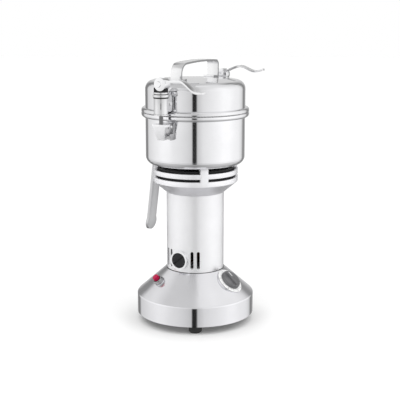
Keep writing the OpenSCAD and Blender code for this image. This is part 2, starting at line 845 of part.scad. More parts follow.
// Collar and side handle

spigot_h = 8;
web_top = z_top_gap + 1.5;
hub_top = web_top;
web_w = 6;
shield_t = 1.6;
bowl_screw_r = 2;
bowl_screw_circle = 45;
bowl_screw_l = 10;
hub_r = bearing_r + 4;

module vent_collar() {
    wall = collar_wall;
    spigot_r = column_in - run_gap;
    rib_t = wall + 2;
    web_z = upper_bearing_z;
    color("gainsboro") turned() difference() {
        union() {
            rotate_extrude() polygon([
                [column_r, z_column_top], [collar_r, z_low_ring], [collar_r, z_low_gap],
                [collar_r - wall, z_low_gap], [collar_r - wall, z_low_ring + wall / 2],
                [spigot_r - wall, z_column_top + wall / 2], [spigot_r - wall, z_column_top - spigot_h],
                [spigot_r, z_column_top - spigot_h], [spigot_r, z_column_top]
            ]);
            translate([0, 0, z_mid_ring]) tube(collar_r, collar_r - wall, mid_ring_h);
            intersection() {
                translate([0, 0, z_low_ring + wall / 2])
                    tube(collar_r, collar_r - rib_t, z_bowl - z_low_ring - wall / 2);
                for (a = [rib_az, rib_az + 90]) rotate([0, 0, a])
                    translate([-collar_r, -rib_w / 2, z_low_ring]) cube([2 * collar_r, rib_w, z_bowl]);
            }
            intersection() {
                translate([0, 0, web_z]) cylinder(r = collar_r - wall / 2, h = web_top - web_z);
                for (a = [rib_az, rib_az + 90]) rotate([0, 0, a])
                    translate([-collar_r, -web_w / 2, z_low_ring]) cube([2 * collar_r, web_w, z_bowl]);
            }
            translate([0, 0, web_z]) cylinder(r = hub_r, h = hub_top - web_z);
            ring_of(4, bowl_screw_circle, rib_az)
                translate([0, 0, z_low_gap]) cylinder(r = bowl_screw_r + 3, h = z_bowl - z_low_gap);
        }
        translate([0, 0, web_z - eps]) cylinder(r = bearing_r + fit_gap, h = bearing_w + eps);
        translate([0, 0, web_z]) cylinder(r = shaft_r + 3, h = z_bowl);
        ring_of(4, bowl_screw_circle, rib_az)
            translate([0, 0, z_bowl - bowl_screw_l])
                cylinder(r = bowl_screw_r + fit_gap, h = bowl_screw_l + eps);
        for (z = side_screw_z) translate([0, 0, z])
            rotate([0, -90, 0]) cylinder(r = side_screw_r + fit_gap, h = collar_r + eps);
    }
}

module drip_shield() {
    shield_r = collar_r - collar_wall - 2 - clear_gap;
    skirt_low = z_low_ring + collar_wall;
    skirt_h = web_top - skirt_low;
    slot = web_w + 2 * clear_gap;
    color("dimgray") turned() difference() {
        union() {
            translate([0, 0, web_top]) cylinder(r = shield_r, h = shield_t);
            difference() {
                translate([0, 0, skirt_low]) tube(shield_r, shield_r - shield_t, skirt_h + shield_t / 2);
                for (a = [rib_az, rib_az + 90]) rotate([0, 0, a])
                    translate([-collar_r, -slot / 2, skirt_low - eps])
                        cube([2 * collar_r, slot, skirt_h + eps]);
            }
        }
        translate([0, 0, web_top - eps]) cylinder(r = shaft_r + 3, h = shield_t + 2 * eps);
        ring_of(4, bowl_screw_circle, rib_az)
            translate([0, 0, web_top - eps])
                cylinder(r = bowl_screw_r + 3 + clear_gap, h = shield_t + 2 * eps);
    }
}

side_screw_r = 2;
side_screw_z = [z_low_ring + low_ring_h / 2, z_mid_ring + mid_ring_h / 2];
side_top_z = z_top_gap;
side_root = collar_r + seat_gap;
side_face = collar_r + 6.4;
side_end_z = z_low_ring - side_handle_l;

// Outer face of the hanging handle at height z
function side_x(z) = side_face + (side_top_z - z) * tan(side_handle_lean);

module side_handle() {
    bulb_r = side_handle_w * 0.61;
    bulb_z = side_end_z + bulb_r;
    tail_z = side_end_z - 2;
    neck_z = bulb_z + 1.25 * bulb_r;
    color("silver") turned() rotate([0, 0, 180]) difference() {
        intersection() {
            translate([0, bulb_r + 1, 0]) rotate([90, 0, 0]) linear_extrude(2 * bulb_r + 2) polygon([
                [side_root - 2, z_low_ring], [side_root - 2, side_top_z], [side_face, side_top_z],
                [side_x(tail_z), tail_z], [side_x(tail_z) - side_handle_t, tail_z],
                [side_x(z_low_ring) - side_handle_t, z_low_ring - 2]
            ]);
            rotate([90, 0, 90]) linear_extrude(2 * collar_r) union() {
                translate([-side_handle_w / 2, bulb_z]) square([side_handle_w, side_top_z + 1 - bulb_z]);
                translate([0, bulb_z]) circle(r = bulb_r);
                polygon([
                    [-bulb_r * sin(55), bulb_z + bulb_r * cos(55)],
                    [bulb_r * sin(55), bulb_z + bulb_r * cos(55)],
                    [side_handle_w / 2, neck_z], [-side_handle_w / 2, neck_z]
                ]);
            }
        }
        translate([0, 0, z_column]) cylinder(r = side_root, h = z_bowl);
        for (z = side_screw_z) translate([0, 0, z]) rotate([0, 90, 0]) {
            cylinder(r = side_screw_r + clear_gap, h = 2 * collar_r);
            translate([0, 0, side_head_z]) cylinder(r = side_screw_r + 2 + clear_gap, h = collar_r);
        }
    }
}

side_head_z = collar_r + 4;

module side_handle_screws() {
    head_h = 2.2;
    color("lightgray") turned() for (z = side_screw_z)
        translate([0, 0, z]) rotate([0, -90, 0]) difference() {
            union() {
                translate([0, 0, collar_r - collar_wall])
                    cylinder(r = side_screw_r, h = side_head_z - collar_r + collar_wall + eps);
                translate([0, 0, side_head_z]) cylinder(r = side_screw_r + 2, h = head_h);
            }
            translate([-0.5, -collar_wall - 4, side_head_z + head_h - 1])
                cube([1, 2 * collar_wall + 8, 1 + eps]);
        }
}

// Bowl

seal_r = 2 * shaft_r;
rim_corner = rim_out * 0.7;
seam_corner = rim_out * 0.15;

// A rolled rim's section: a lobe from wall radius r out to rim_r, between heights z0 and z1,
// with a lower and an upper corner radius
module rim_lobe(r, z0, z1, low_r, top_r) {
    polygon(concat(
        [[r, z0]],
        arc([rim_r - low_r, z0 + low_r], low_r, -90, 0, 6),
        arc([rim_r - top_r, z1 - top_r], top_r, 0, 90, 6),
        [[r, z1]]
    ));
}

module bowl() {
    outer = bowl_corner;
    inner = bowl_corner - bowl_wall;
    top = z_seam - gasket_t / 2;
    color("gainsboro") difference() {
        rotate_extrude() union() {
            polygon(concat(
                [[seal_r + seat_gap, z_bowl]],
                arc([bowl_r - outer, z_bowl + outer], outer, -90, 0),
                [[bowl_r, top], [bowl_in, top]],
                arc([bowl_r - outer, z_bowl + outer], inner, 0, -90),
                [[seal_r + seat_gap, z_floor]]
            ));
            rim_lobe(bowl_in, top - bowl_rim_h, top, rim_corner, seam_corner);
        }
        turned() ring_of(4, bowl_screw_circle, rib_az)
            translate([0, 0, z_bowl - eps]) cylinder(r = bowl_screw_r + clear_gap, h = bowl_wall + 2 * eps);
        for (side = ["front", "rear"]) at_catch_rivets(side)
            translate([0, 0, -2 * bowl_wall]) cylinder(r = rivet_r + fit_gap, h = 5 * bowl_wall);
    }
}

module bowl_screws() {
    head_h = 2.4;
    color("lightgray") turned() ring_of(4, bowl_screw_circle, rib_az) difference() {
        union() {
            translate([0, 0, z_floor]) cylinder(r = bowl_screw_r + 2, h = head_h);
            translate([0, 0, z_bowl - bowl_screw_l + 1])
                cylinder(r = bowl_screw_r, h = bowl_screw_l + bowl_wall);
        }
        translate([0, 0, z_floor + head_h - 1.4]) cylinder(r = 1.5, h = 2, $fn = 6);
    }
}

module shaft_seal() {
    lip = 0.6 * shaft_r;
    color("dimgray") rotate_extrude() polygon([
        [shaft_r + run_gap, z_bowl - lip / 2], [seal_r, z_bowl - lip / 2],
        [seal_r, z_floor], [seal_r + lip, z_floor],
        [seal_r + lip, z_floor + lip / 2], [shaft_r + lip, z_floor + shaft_r],
        [shaft_r + run_gap, z_floor + shaft_r]
    ]);
}

claw_top = claw_drop * 0.625;
claw_in = 6;
claw_out = 5.5;
rivet_r = 1.5;
rivet_x = catch_half_w / 2;
catch_low = -claw_drop - 1;
catch_top = catch_low + catch_h;
shelf_low = catch_low + shelf_up;
shelf_out = latch_r - claw_in - 1.5;
rivet_up = catch_top - catch_h / 4.4;

// Frames at a catch's rivets: the origin is on the bowl's outer wall, +Z points out
module at_catch_rivets(side) {
    for (s = [-1, 1])
        latch(side) translate([s * rivet_x, latch_r - sqrt(pow(bowl_r, 2) - pow(rivet_x, 2)), rivet_up])
            rotate([90, 0, 0]) children();
}

module catch(side) {
    cheek_out = shelf_out - 2;
    plate_out = bowl_r + bracket_t;
    difference() {
        latch(side) {
            translate([-catch_half_w, latch_r - plate_out, catch_low])
                cube([2 * catch_half_w, 2 * bracket_t, catch_top - catch_low]);
            translate([-catch_half_w, latch_r - shelf_out, shelf_low])
                cube([2 * catch_half_w, shelf_out - bowl_r + bracket_t, bracket_t + 1]);
            for (x = [-catch_half_w, catch_half_w - bracket_t])
                translate([x, latch_r - cheek_out, catch_low])
                    cube([bracket_t, cheek_out - bowl_r + bracket_t, shelf_low - catch_low + bracket_t]);
        }
        translate([0, 0, z_bowl]) cylinder(r = bowl_r + seat_gap, h = 2 * bowl_h, $fn = 256);
        at_catch_rivets(side) cylinder(r = rivet_r + fit_gap, h = 3 * bracket_t);
    }
}

module bowl_catches() {
    color("silver") for (side = ["front", "rear"]) catch(side);
}

module catch_rivets() {
    head_r = rivet_r + 1.3;
    plate_face = bracket_t + bowl_r - sqrt(pow(bowl_r, 2) - pow(rivet_x, 2));
    inner_face = -bowl_wall - 0.6;
    color("lightgray") for (side = ["front", "rear"]) at_catch_rivets(side) {
        translate([0, 0, inner_face]) cylinder(r = rivet_r, h = plate_face - inner_face);
        translate([0, 0, inner_face - 0.8]) cylinder(r = head_r, h = 0.8);
        translate([0, 0, plate_face]) cylinder(r1 = head_r, r2 = head_r - 1, h = 1.2);
    }
}

// Rotor

blade_z = z_floor + blade_up;
upper_blade_z = blade_z + blade_t + blade_gap;
blade_nut_h = 6.5;
shaft_top = upper_blade_z + blade_t + blade_nut_h + 1;
winding_end = 7;
commutator_l = 18;
fan_z = core_z + armature_l + winding_end + 5;
armature_slots = 12;
slot_w = 4;
slot_depth = 7;

module motor_shaft() {
    shaft_low = lower_bearing_z - 2;
    color("silver") {
        translate([0, 0, shaft_low]) cylinder(r = shaft_r, h = blade_z - shaft_low);
        translate([0, 0, blade_z - eps]) cylinder(r = shaft_end_r, h = shaft_top - blade_z + eps);
    }
}

module armature_core() {
    color("slategray") turned() translate([0, 0, core_z]) difference() {
        tube(armature_r, shaft_r + fit_gap, armature_l);
        ring_of(armature_slots, armature_r - slot_depth)
            translate([0, -slot_w / 2, -eps]) cube([2 * slot_depth, slot_w, armature_l + 2 * eps]);
    }
}

module armature_windings() {
    end_r = armature_r - 2.5;
    bar_w = slot_w - 2 * clear_gap;
    color("chocolate") turned() {
        for (z = [core_z - winding_end, core_z + armature_l])
            translate([0, 0, z]) tube(end_r, shaft_r + clear_gap, winding_end);
        ring_of(armature_slots, armature_r - slot_depth + clear_gap)
            translate([0, -bar_w / 2, core_z - eps]) cube([slot_depth - 2, bar_w, armature_l + 2 * eps]);
    }
}

module commutator() {
    segments = 16;
    groove = 0.8;
    color("peru") turned() translate([0, 0, z_brush - commutator_l / 2]) difference() {
        tube(commutator_r, shaft_r + fit_gap, commutator_l);
        ring_of(segments, commutator_r - 1)
            translate([0, -groove / 2, -eps]) cube([2, groove, commutator_l + 2 * eps]);
    }
}

module cooling_fan() {
    fan_blades = 9;
    disc_t = 1.5;
    vane_h = 9;
    vane_t = 1.6;
    fan_hub_r = shaft_r + 5;
    color("dimgray") translate([0, 0, fan_z]) {
        rotate_extrude() polygon([
            [shaft_r + fit_gap, 0], [fan_r, 0], [fan_r, disc_t], [fan_hub_r, disc_t],
            [fan_hub_r, disc_t + vane_h], [shaft_r + fit_gap, disc_t + vane_h]
        ]);
        ring_of(fan_blades, fan_hub_r - 1) rotate([0, 0, 25])
            translate([0, -vane_t / 2, disc_t / 2]) cube([fan_r - fan_hub_r - 2, vane_t, vane_h]);
    }
}

// A two-winged blade: each wing is pitched and sharpened towards its tip
module blade(pitch) {
    root = shaft_end_r + 6;
    difference() {
        union() {
            cylinder(r = root, h = blade_t);
            for (a = [0, 180]) rotate([0, 0, a])
                translate([root - 4, 0, blade_t / 2]) rotate([pitch, 0, 0])
                    translate([0, 0, -blade_t / 2]) linear_extrude(blade_t) polygon([
                        [0, -blade_w / 2], [blade_r - root - 8, -blade_w / 2],
                        [blade_r - root + 2, -blade_w / 5],
                        [blade_r - root + 2, blade_w / 4],
                        [blade_r - root - 6, blade_w / 2.6], [0, blade_w / 2]
                    ]);
        }
        translate([0, 0, -blade_w]) cylinder(r = shaft_end_r + fit_gap, h = 2 * blade_w);
        for (s = [-1, 1]) translate([0, 0, s > 0 ? blade_t : -blade_w]) cylinder(r = root, h = blade_w);
    }
}

module lower_blade() {
    color("silver") turned() translate([0, 0, blade_z]) rotate([0, 0, 20]) blade(-9);
}

module blade_spacer() {
    color("silver") translate([0, 0, blade_z + blade_t])
        tube(shaft_end_r + 4, shaft_end_r + fit_gap, blade_gap);
}

module upper_blade() {
    color("silver") turned() translate([0, 0, upper_blade_z]) rotate([0, 0, 110]) blade(9);
}

module blade_nut() {
    color("silver") translate([0, 0, upper_blade_z + blade_t]) difference() {
        cylinder(r = shaft_end_r + 3.5, h = blade_nut_h, $fn = 6);
        translate([0, 0, -eps]) cylinder(r = shaft_end_r + fit_gap, h = blade_nut_h + 2 * eps);
    }
}

// Lid

// The lid's outer face: a section from the axis to the wall, grown by grow
module lid_section(grow, base_z) {
    r = lid_r + grow;
    shoulder = lid_shoulder + grow;
    edge = z_lid_edge + grow;
    flat_r = r - shoulder;
    polygon(concat(
        [[0, base_z], [r, base_z]],
        arc([flat_r, edge - shoulder], shoulder, 0, 84),
        [for (i = [1 : 8]) let (x = flat_r * (1 - i / 8)) [x, edge + lid_dome * (1 - pow(x / flat_r, 2))]]
    ));
}

module lid() {
    low = z_seam + gasket_t / 2;
    color("gainsboro") rotate_extrude() difference() {
        union() {
            lid_section(0, low);
            rim_lobe(lid_r - lid_wall, low, low + lid_rim_h, seam_corner, rim_corner);
        }
        lid_section(-lid_wall, low - eps);
    }
}

module lid_gasket() {
    color("dimgray") translate([0, 0, z_seam - gasket_t / 2 + seat_gap])
        tube(rim_r - 1.4, max(bowl_in, lid_r - lid_wall), gasket_t - seat_gap);
}

module lid_handle() {
    half = handle_l / 2;
    top = z_lid_edge + handle_h;
    low = z_lid_edge - 2;
    foot = 14;
    front = handle_front_bend;
    rear = handle_rear_bend;
    arch = 1.4;
    mid = (front - rear) / 2;
    span = half - (front + rear) / 2;
    rise = [for (i = [1 : 5]) arch * (1 - pow(1 - i / 3, 2))];
    outer_top = [for (i = [1 : 5]) [mid + span * (1 - i / 3), top + rise[i - 1]]];
    inner_top = [for (i = [1 : 5]) [mid + span * (i / 3 - 1), top - handle_t + rise[i - 1]]];
    color("gainsboro") difference() {
        turned() translate([-handle_w / 2, 0, 0]) rotate([90, 0, 90])
            linear_extrude(handle_w) polygon(concat(
            [[half, low]],
            arc([half - rear, top - rear], rear, 0, 90),
            outer_top,
            arc([front - half, top - front], front, 90, 180),
            [[-half, low], [foot - half, low], [foot - half, lid_seat_z(half - foot) + handle_t],
             [handle_t - half, lid_seat_z(half) + handle_t]],
            arc([front - half, top - front], front - handle_t, 180, 90),
            inner_top,
            arc([half - rear, top - rear], rear - handle_t, 90, 0),
            [[half - handle_t, lid_seat_z(half) + handle_t],
            [half - foot, lid_seat_z(half - foot) + handle_t],
             [half - foot, low]]
        ));
        rotate_extrude() lid_section(seat_gap, z_seam);
    }
}

// Height of the lid's domed top at distance r from the axis
function lid_seat_z(r) = z_lid_edge + lid_dome * (1 - pow(r / (lid_r - lid_shoulder), 2));

// Latches, each modelled in its pivot frame

ring_r = barrel_r + 1.3;
ring_h = 3.4;
washer_h = 2.2;
groove_h = 0.9;
washer_top = barrel_above + ring_h + groove_h + washer_h;
lip_r = barrel_r + 0.9;
block_back = 12;
block_low = -pivot_up + gasket_t / 2 + lid_rim_h + 1;
block_top = barrel_above + ring_h - 1;
lug_half_w = 4;
lug_nose_r = pivot_r + 1.6;
eye_r = 4.6;
eye_w = 6;
cam_pin_r = 2.5;

// A bracket on the lid: a plate that follows the lid's wall and a lug for the pivot pin
module lug(side) {
    plate_half_w = 8;
    plate_y = latch_r - lid_r;
    root_half_h = 8;
    difference() {
        latch(side) {
            translate([-plate_half_w, plate_y - bracket_t, block_low])
                cube([2 * plate_half_w, 2 * bracket_t, 2 * root_half_h + bracket_t]);
            translate([-lug_half_w, 0, 0]) rotate([90, 0, 90])
                linear_extrude(2 * lug_half_w) polygon(concat(
                [[plate_y + bracket_t, -root_half_h], [plate_y + bracket_t, root_half_h]],
                arc([pivot_back, 0], lug_nose_r, 80, 280, 12)
            ));
        }
        rotate_extrude($fn = 256) lid_section(seat_gap, z_seam);
        latch(side) at_pivot() cylinder(r = pivot_r + fit_gap, h = 4 * barrel_r, center = true);
    }
}

// A pivot's frame: +Z along its pin
module at_pivot() {
    translate([0, pivot_back, 0]) rotate([0, 90, 0]) children();
}

module latch_lugs() {
    color("silver") for (side = ["front", "rear"]) lug(side);
}

module pivot_pins() {
    head_h = 1;
    head_r = pivot_r + 1.2;
    face = barrel_r + seat_gap;
    color("lightgray") for (side = ["front", "rear"]) latch(side) at_pivot() {
        cylinder(r = pivot_r, h = 2 * face + head_h, center = true);
        for (s = [0, 180]) rotate([s, 0, 0])
            translate([0, 0, face]) cylinder(r1 = head_r, r2 = head_r - 0.6, h = head_h);
    }
}

// A latch's body: a turned barrel with rings, and a block behind it that straddles the lug
module barrel(side) {
    corner = 4;
    slot_half_w = lug_half_w + clear_gap;
    slot_y = pivot_back - lug_nose_r - clear_gap;
    color("gainsboro") latch(side) difference() {
        union() {
            rotate_extrude() polygon([
                [0, -barrel_below], [lip_r, -barrel_below], [lip_r, 1.6 - barrel_below],
                [barrel_r, 2 - barrel_below], [barrel_r, barrel_above], [ring_r, barrel_above + 0.3],
                [ring_r, barrel_above + ring_h], [barrel_r - 1.2, barrel_above + ring_h],
                [barrel_r - 1.2, washer_top - washer_h], [barrel_r + 0.2, washer_top - washer_h],
                [barrel_r + 0.2, washer_top], [0, washer_top]
            ]);
            translate([-barrel_r, 0, 0]) rotate([90, 0, 90]) linear_extrude(2 * barrel_r) polygon(concat(
                [[0, block_top], [0, block_low]],
                arc([block_back - corner, block_low + corner], corner, -90, 0, 6),
                arc([block_back - corner, block_top - corner], corner, 0, 90, 6)
            ));
        }
        translate([0, 0, -2 * barrel_below]) cylinder(r = rod_r + run_gap, h = 4 * barrel_below);
        translate([-slot_half_w, slot_y, block_low - eps])
            cube([2 * slot_half_w, 2 * block_back, barrel_above - block_low + eps]);
        at_pivot() cylinder(r = pivot_r + run_gap, h = 4 * barrel_r, center = true);
    }
}

module cam_pad(side) {
    pad_h = 5.6;
    seat_r = cam_r + cam_offset / 2 + clear_gap;
    color("black") latch(side) difference() {
        intersection() {
            translate([0, 0, washer_top]) cylinder(r = barrel_r, h = pad_h);
            translate([-barrel_r, -cam_w / 2, washer_top]) cube([2 * barrel_r, cam_w, pad_h]);
        }
        translate([cam_offset / 2, cam_w, cam_up]) rotate([90, 0, 0]) cylinder(r = seat_r, h = 2 * cam_w);
        translate([0, 0, washer_top - eps]) cylinder(r = rod_r + clear_gap, h = 2 * pad_h);
    }
}

module rod(side) {
    color("silver") latch(side) difference() {
        union() {
            translate([0, 0, -claw_top]) cylinder(r = rod_r, h = cam_up + claw_top);
            translate([0, eye_w / 2, cam_up]) rotate([90, 0, 0]) cylinder(r = eye_r, h = eye_w);
        }
        translate([0, eye_w, cam_up]) rotate([90, 0, 0]) cylinder(r = cam_pin_r + fit_gap, h = 2 * eye_w);
    }
}

module cam_pin(side) {
    head_h = 1.2;
    color("lightgray") latch(side) translate([0, cam_w / 2, cam_up]) rotate([90, 0, 0]) {
        cylinder(r = cam_pin_r, h = cam_w + fit_gap);
        translate([0, 0, cam_w + fit_gap]) cylinder(r1 = cam_pin_r + 1.6, r2 = cam_pin_r + 1, h = head_h);
    }
}

// A claw: a flange under the rod, a plate that leans inwards and a toe
module claw(side) {
    t = bracket_t + 1;
    toe_half_w = catch_half_w / 2;
    lean = 3.5;
    color("silver") latch(side) difference() {
        union() {
            translate([-claw_w / 2, -claw_out, -claw_top]) cube([claw_w, claw_in + claw_out, t]);
            intersection() {
                translate([0, claw_in, 0]) rotate([90, 0, 0]) linear_extrude(2 * claw_in) polygon([
                    [-claw_w / 2, -claw_top + t], [claw_w / 2, -claw_top + t], [toe_half_w, -claw_drop],
                    [-toe_half_w, -claw_drop]
                ]);
                translate([-claw_w / 2, 0, 0]) rotate([90, 0, 90]) linear_extrude(claw_w) polygon([
                    [-claw_out, -claw_top + t], [-claw_out, -claw_top], [lean - claw_out, -claw_drop],
                    [lean - claw_out + t, -claw_drop],
                    [t - claw_out, -claw_top], [t - claw_out, -claw_top + t]
                ]);
            }
            translate([-toe_half_w, lean - claw_out, -claw_drop])
                cube([2 * toe_half_w, claw_in + claw_out - lean, t + 0.5]);
        }
        translate([0, 0, -claw_top - eps]) cylinder(r = rod_r + fit_gap, h = t + 2 * eps);
    }
}

// Centre line of a lever's strap from its cam: a hump, a dip and a flat tip
function lever_z(u) = u < 0.4 ? lever_hump * (0.4 + 0.6 * sin(u / 0.4 * 90))
    : u < 0.85 ? lever_hump - (lever_hump + lever_drop) * (1 - cos((u - 0.4) / 0.45 * 180)) / 2
    : -lever_drop;

module lever(side) {
    steps = 24;
    start = cam_r - 3;
    line = [for (i = [0 : steps]) let (u = i / steps) [start + (lever_l - start) * u, lever_z(u)]];
    tilt = side == "front" ? 0 : rear_lever_lift;
    color("gainsboro") latch(side) translate([0, 0, cam_up]) rotate([0, -tilt, 0]) difference() {
        union() {
            translate([cam_offset, cam_w / 2, 0]) rotate([90, 0, 0]) cylinder(r = cam_r, h = cam_w);
            translate([0, lever_w / 2, 0]) rotate([90, 0, 0]) linear_extrude(lever_w) polygon(concat(
                [for (p = line) p + [0, lever_t / 2]],
                [for (i = [steps : -1 : 0]) line[i] - [0, lever_t / 2]]
            ));
        }
        translate([0, cam_w, 0]) rotate([90, 0, 0]) cylinder(r = cam_pin_r + run_gap, h = 2 * cam_w);
        translate([-2 * cam_r, -eye_w / 2 - clear_gap, -2 * cam_r])
            cube([2 * cam_r + eye_r + clear_gap, eye_w + 2 * clear_gap, 4 * cam_r]);
    }
}

module front_barrel() { barrel("front"); }
module front_cam_pad() { cam_pad("front"); }
module front_rod() { rod("front"); }
module front_claw() { claw("front"); }
module front_cam_pin() { cam_pin("front"); }
module front_lever() { lever("front"); }
module rear_barrel() { barrel("rear"); }
module rear_cam_pad() { cam_pad("rear"); }
module rear_rod() { rod("rear"); }
module rear_claw() { claw("rear"); }
module rear_cam_pin() { cam_pin("rear"); }
module rear_lever() { lever("rear"); }

base_shell();
bottom_cover();
rubber_feet();
foot_screws();
cord_grommet();
timer_body();
timer_nut();
dial_plate();
timer_spindle();
timer_knob();
breaker_body();
breaker_nut();
reset_button();
internal_leads();
motor_housing();
column_screws();
lower_bracket();
ball_bearings();
stator_core();
field_coils();
brush_holders();
carbon_brushes();
brush_springs();
brush_caps();
vent_collar();
drip_shield();
side_handle();
side_handle_screws();
bowl();
bowl_screws();
shaft_seal();
bowl_catches();
catch_rivets();
motor_shaft();
bearing_inner_races();
armature_core();
armature_windings();
commutator();
cooling_fan();
lower_blade();
blade_spacer();
upper_blade();
blade_nut();
lid();
lid_gasket();
lid_handle();
latch_lugs();
pivot_pins();
front_barrel();
front_cam_pad();
front_rod();
front_claw();
front_cam_pin();
front_lever();
rear_barrel();
rear_cam_pad();
rear_rod();
rear_claw();
rear_cam_pin();
rear_lever();
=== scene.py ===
# %% [markdown]
# # An upright coffee grinder in polished steel
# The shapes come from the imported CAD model, which is loaded as a fixed frame in metres.
# This lesson gives each surface its finish, models the small things that CAD leaves plain,
# and sets up a white studio whose reflections draw the form of the polished metal.

import json
import math

import bpy
from mathutils import Matrix, Vector


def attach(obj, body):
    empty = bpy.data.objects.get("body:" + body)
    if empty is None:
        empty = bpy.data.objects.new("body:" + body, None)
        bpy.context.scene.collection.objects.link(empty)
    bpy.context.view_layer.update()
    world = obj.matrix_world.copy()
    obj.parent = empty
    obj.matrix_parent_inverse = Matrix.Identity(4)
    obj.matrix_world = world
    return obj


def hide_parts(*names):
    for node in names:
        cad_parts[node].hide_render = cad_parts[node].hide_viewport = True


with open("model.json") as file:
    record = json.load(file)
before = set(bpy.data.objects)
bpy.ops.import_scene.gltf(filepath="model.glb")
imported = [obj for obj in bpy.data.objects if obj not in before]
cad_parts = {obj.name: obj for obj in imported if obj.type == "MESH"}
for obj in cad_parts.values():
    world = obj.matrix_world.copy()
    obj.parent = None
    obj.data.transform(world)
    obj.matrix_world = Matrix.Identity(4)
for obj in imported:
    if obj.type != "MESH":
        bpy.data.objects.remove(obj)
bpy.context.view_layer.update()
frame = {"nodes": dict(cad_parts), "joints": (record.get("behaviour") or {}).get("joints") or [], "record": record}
nodes = frame["nodes"]
scene = bpy.context.scene
bpy.ops.object.select_all(action="DESELECT")

# %% [markdown]
# ## The camera
# The photograph looks down on the grinder by twelve degrees from a little over a metre away.
# The lens is long, so upright lines stay upright. The object stands slightly left of the middle,
# which a small shift of the lens gives without turning the camera. The Standard view shows colours
# about as they are written, and with caustics off the steel throws no bright flecks on the floor.

# %% Camera
CAMERA_DISTANCE = 1.3306
CAMERA_HEIGHT = 0.4537
CAMERA_PITCH = math.radians(11.99)
CAMERA_LENS = 86.96
SENSOR_WIDTH = 36
LENS_SHIFT = 0.0118

bpy.ops.object.camera_add(
    location=(0, -CAMERA_DISTANCE, CAMERA_HEIGHT),
    rotation=(math.pi / 2 - CAMERA_PITCH, 0, 0),
)
camera = bpy.context.object
camera.data.lens = CAMERA_LENS
camera.data.sensor_width = SENSOR_WIDTH
camera.data.shift_x = LENS_SHIFT
scene.camera = camera
scene.view_settings.view_transform = "Standard"
scene.cycles.caustics_reflective = False
print("camera lens:", camera.data.lens)

# %% [markdown]
# ## Building node trees
# Every finish here is a short chain of nodes ending in one Principled shader. Five small helpers
# keep the chains readable. The first adds a node with its settings, the second links two sockets,
# and the third starts a material and hands back its tree and shader.


# %% Node helpers
def add_node(tree, kind, **settings):
    node = tree.nodes.new(kind)
    for name, value in settings.items():
        if name in node.inputs:
            node.inputs[name].default_value = value
        else:
            setattr(node, name, value)
    return node


def link(tree, source, target):
    tree.links.new(source, target)


def start_material(name, **sockets):
    material = bpy.data.materials.new(name)
    material.use_nodes = True
    shader = material.node_tree.nodes["Principled BSDF"]
    for socket, value in sockets.items():
        shader.inputs[socket.replace("_", " ")].default_value = value
    return material, material.node_tree, shader


print("node helpers: add_node, link, start_material")

# %% [markdown]
# The other two work on values inside a tree. One combines two numbers, each of them a plain value or
# another node's output. The other turns a number into a brightness or a colour by a list of stops.


# %% Value helpers
def math_node(tree, operation, a, b):
    node = add_node(tree, "ShaderNodeMath", operation=operation)
    for socket, value in zip(node.inputs, (a, b)):
        if isinstance(value, (int, float)):
            socket.default_value = value
        else:
            link(tree, value, socket)
    return node.outputs[0]


def ramp(tree, factor, stops):
    node = add_node(tree, "ShaderNodeValToRGB")
    elements = node.color_ramp.elements
    elements[0].position = stops[0][0]
    elements[1].position = stops[-1][0]
    for place, _ in stops[1:-1]:
        elements.new(place)
    for element, (_, colour) in zip(elements, stops):
        grey = (colour, colour, colour) if isinstance(colour, (int, float)) else colour
        element.color = (*grey, 1)
    link(tree, factor, node.inputs[0])
    return node.outputs[0]


print("value helpers: math_node, ramp")

# %% [markdown]
# ## The studio
# Polished steel shows what stands around it. Product photographers put such things in a white tent
# with a slit for the lens, and the slit draws one dark line down the middle of every round body.
# Dark flags behind the object at both sides give the outlines a grey edge, and a roof panel lights
# the lid. The tent could be built from white planes, but here the world plays it, because a world
# has no thickness or shadow of its own and every panel is one number in a list.
# Each list pairs a place with a brightness. Round the horizon 0.5 is towards the camera, with 0 and
# 1 behind the object. In height 0 is straight down, 0.5 is the horizon and 1 is straight up.

# %% Tent panels
TENT_STOPS = [
    (0.00, 0.70), (0.04, 0.50), (0.06, 0.25), (0.10, 0.24), (0.12, 0.74), (0.18, 0.87), (0.23, 0.95),
    (0.28, 1.04), (0.32, 1.02), (0.36, 0.92), (0.42, 0.82), (0.46, 0.72), (0.49, 0.60), (0.52, 0.66),
    (0.55, 0.83), (0.60, 0.93), (0.65, 1.03), (0.69, 1.12), (0.73, 1.12), (0.78, 1.02), (0.83, 0.96),
    (0.87, 0.78), (0.90, 0.24), (0.92, 0.28), (0.96, 0.55), (1.00, 0.70),
]
TENT_HEIGHT = [
    (0.0, 0.35), (0.22, 0.6), (0.33, 0.86), (0.38, 0.9), (0.45, 1.0), (0.7, 1.0), (0.85, 0.92),
    (1.0, 0.95),
]
TENT_LEVEL = 1.05
ROOF_STOPS = [
    (0.00, 0.62), (0.30, 0.66), (0.46, 0.63), (0.50, 0.66), (0.56, 0.84), (0.72, 0.95), (0.90, 0.85),
    (1.00, 0.62),
]
ROOF_HEIGHT = [(0.84, 0.0), (0.92, 1.0)]
SLIT_STOPS = [(0.479, 0.0), (0.4845, 0.97), (0.5065, 0.96), (0.5135, 0.0)]
SLIT_HEIGHT = [
    (0.31, 0.0), (0.32, 1.0), (0.348, 1.0), (0.358, 0.1), (0.396, 0.1), (0.405, 1.0), (0.475, 1.0),
    (0.49, 0.0),
]
print("tent stops:", len(TENT_STOPS), "roof stops:", len(ROOF_STOPS), "slit stops:", len(SLIT_STOPS))

# %% [markdown]
# A world only knows the direction of a ray. The angle round the axis and the height are worked out
# from that direction, each as a number from 0 to 1 that the lists can be read with.

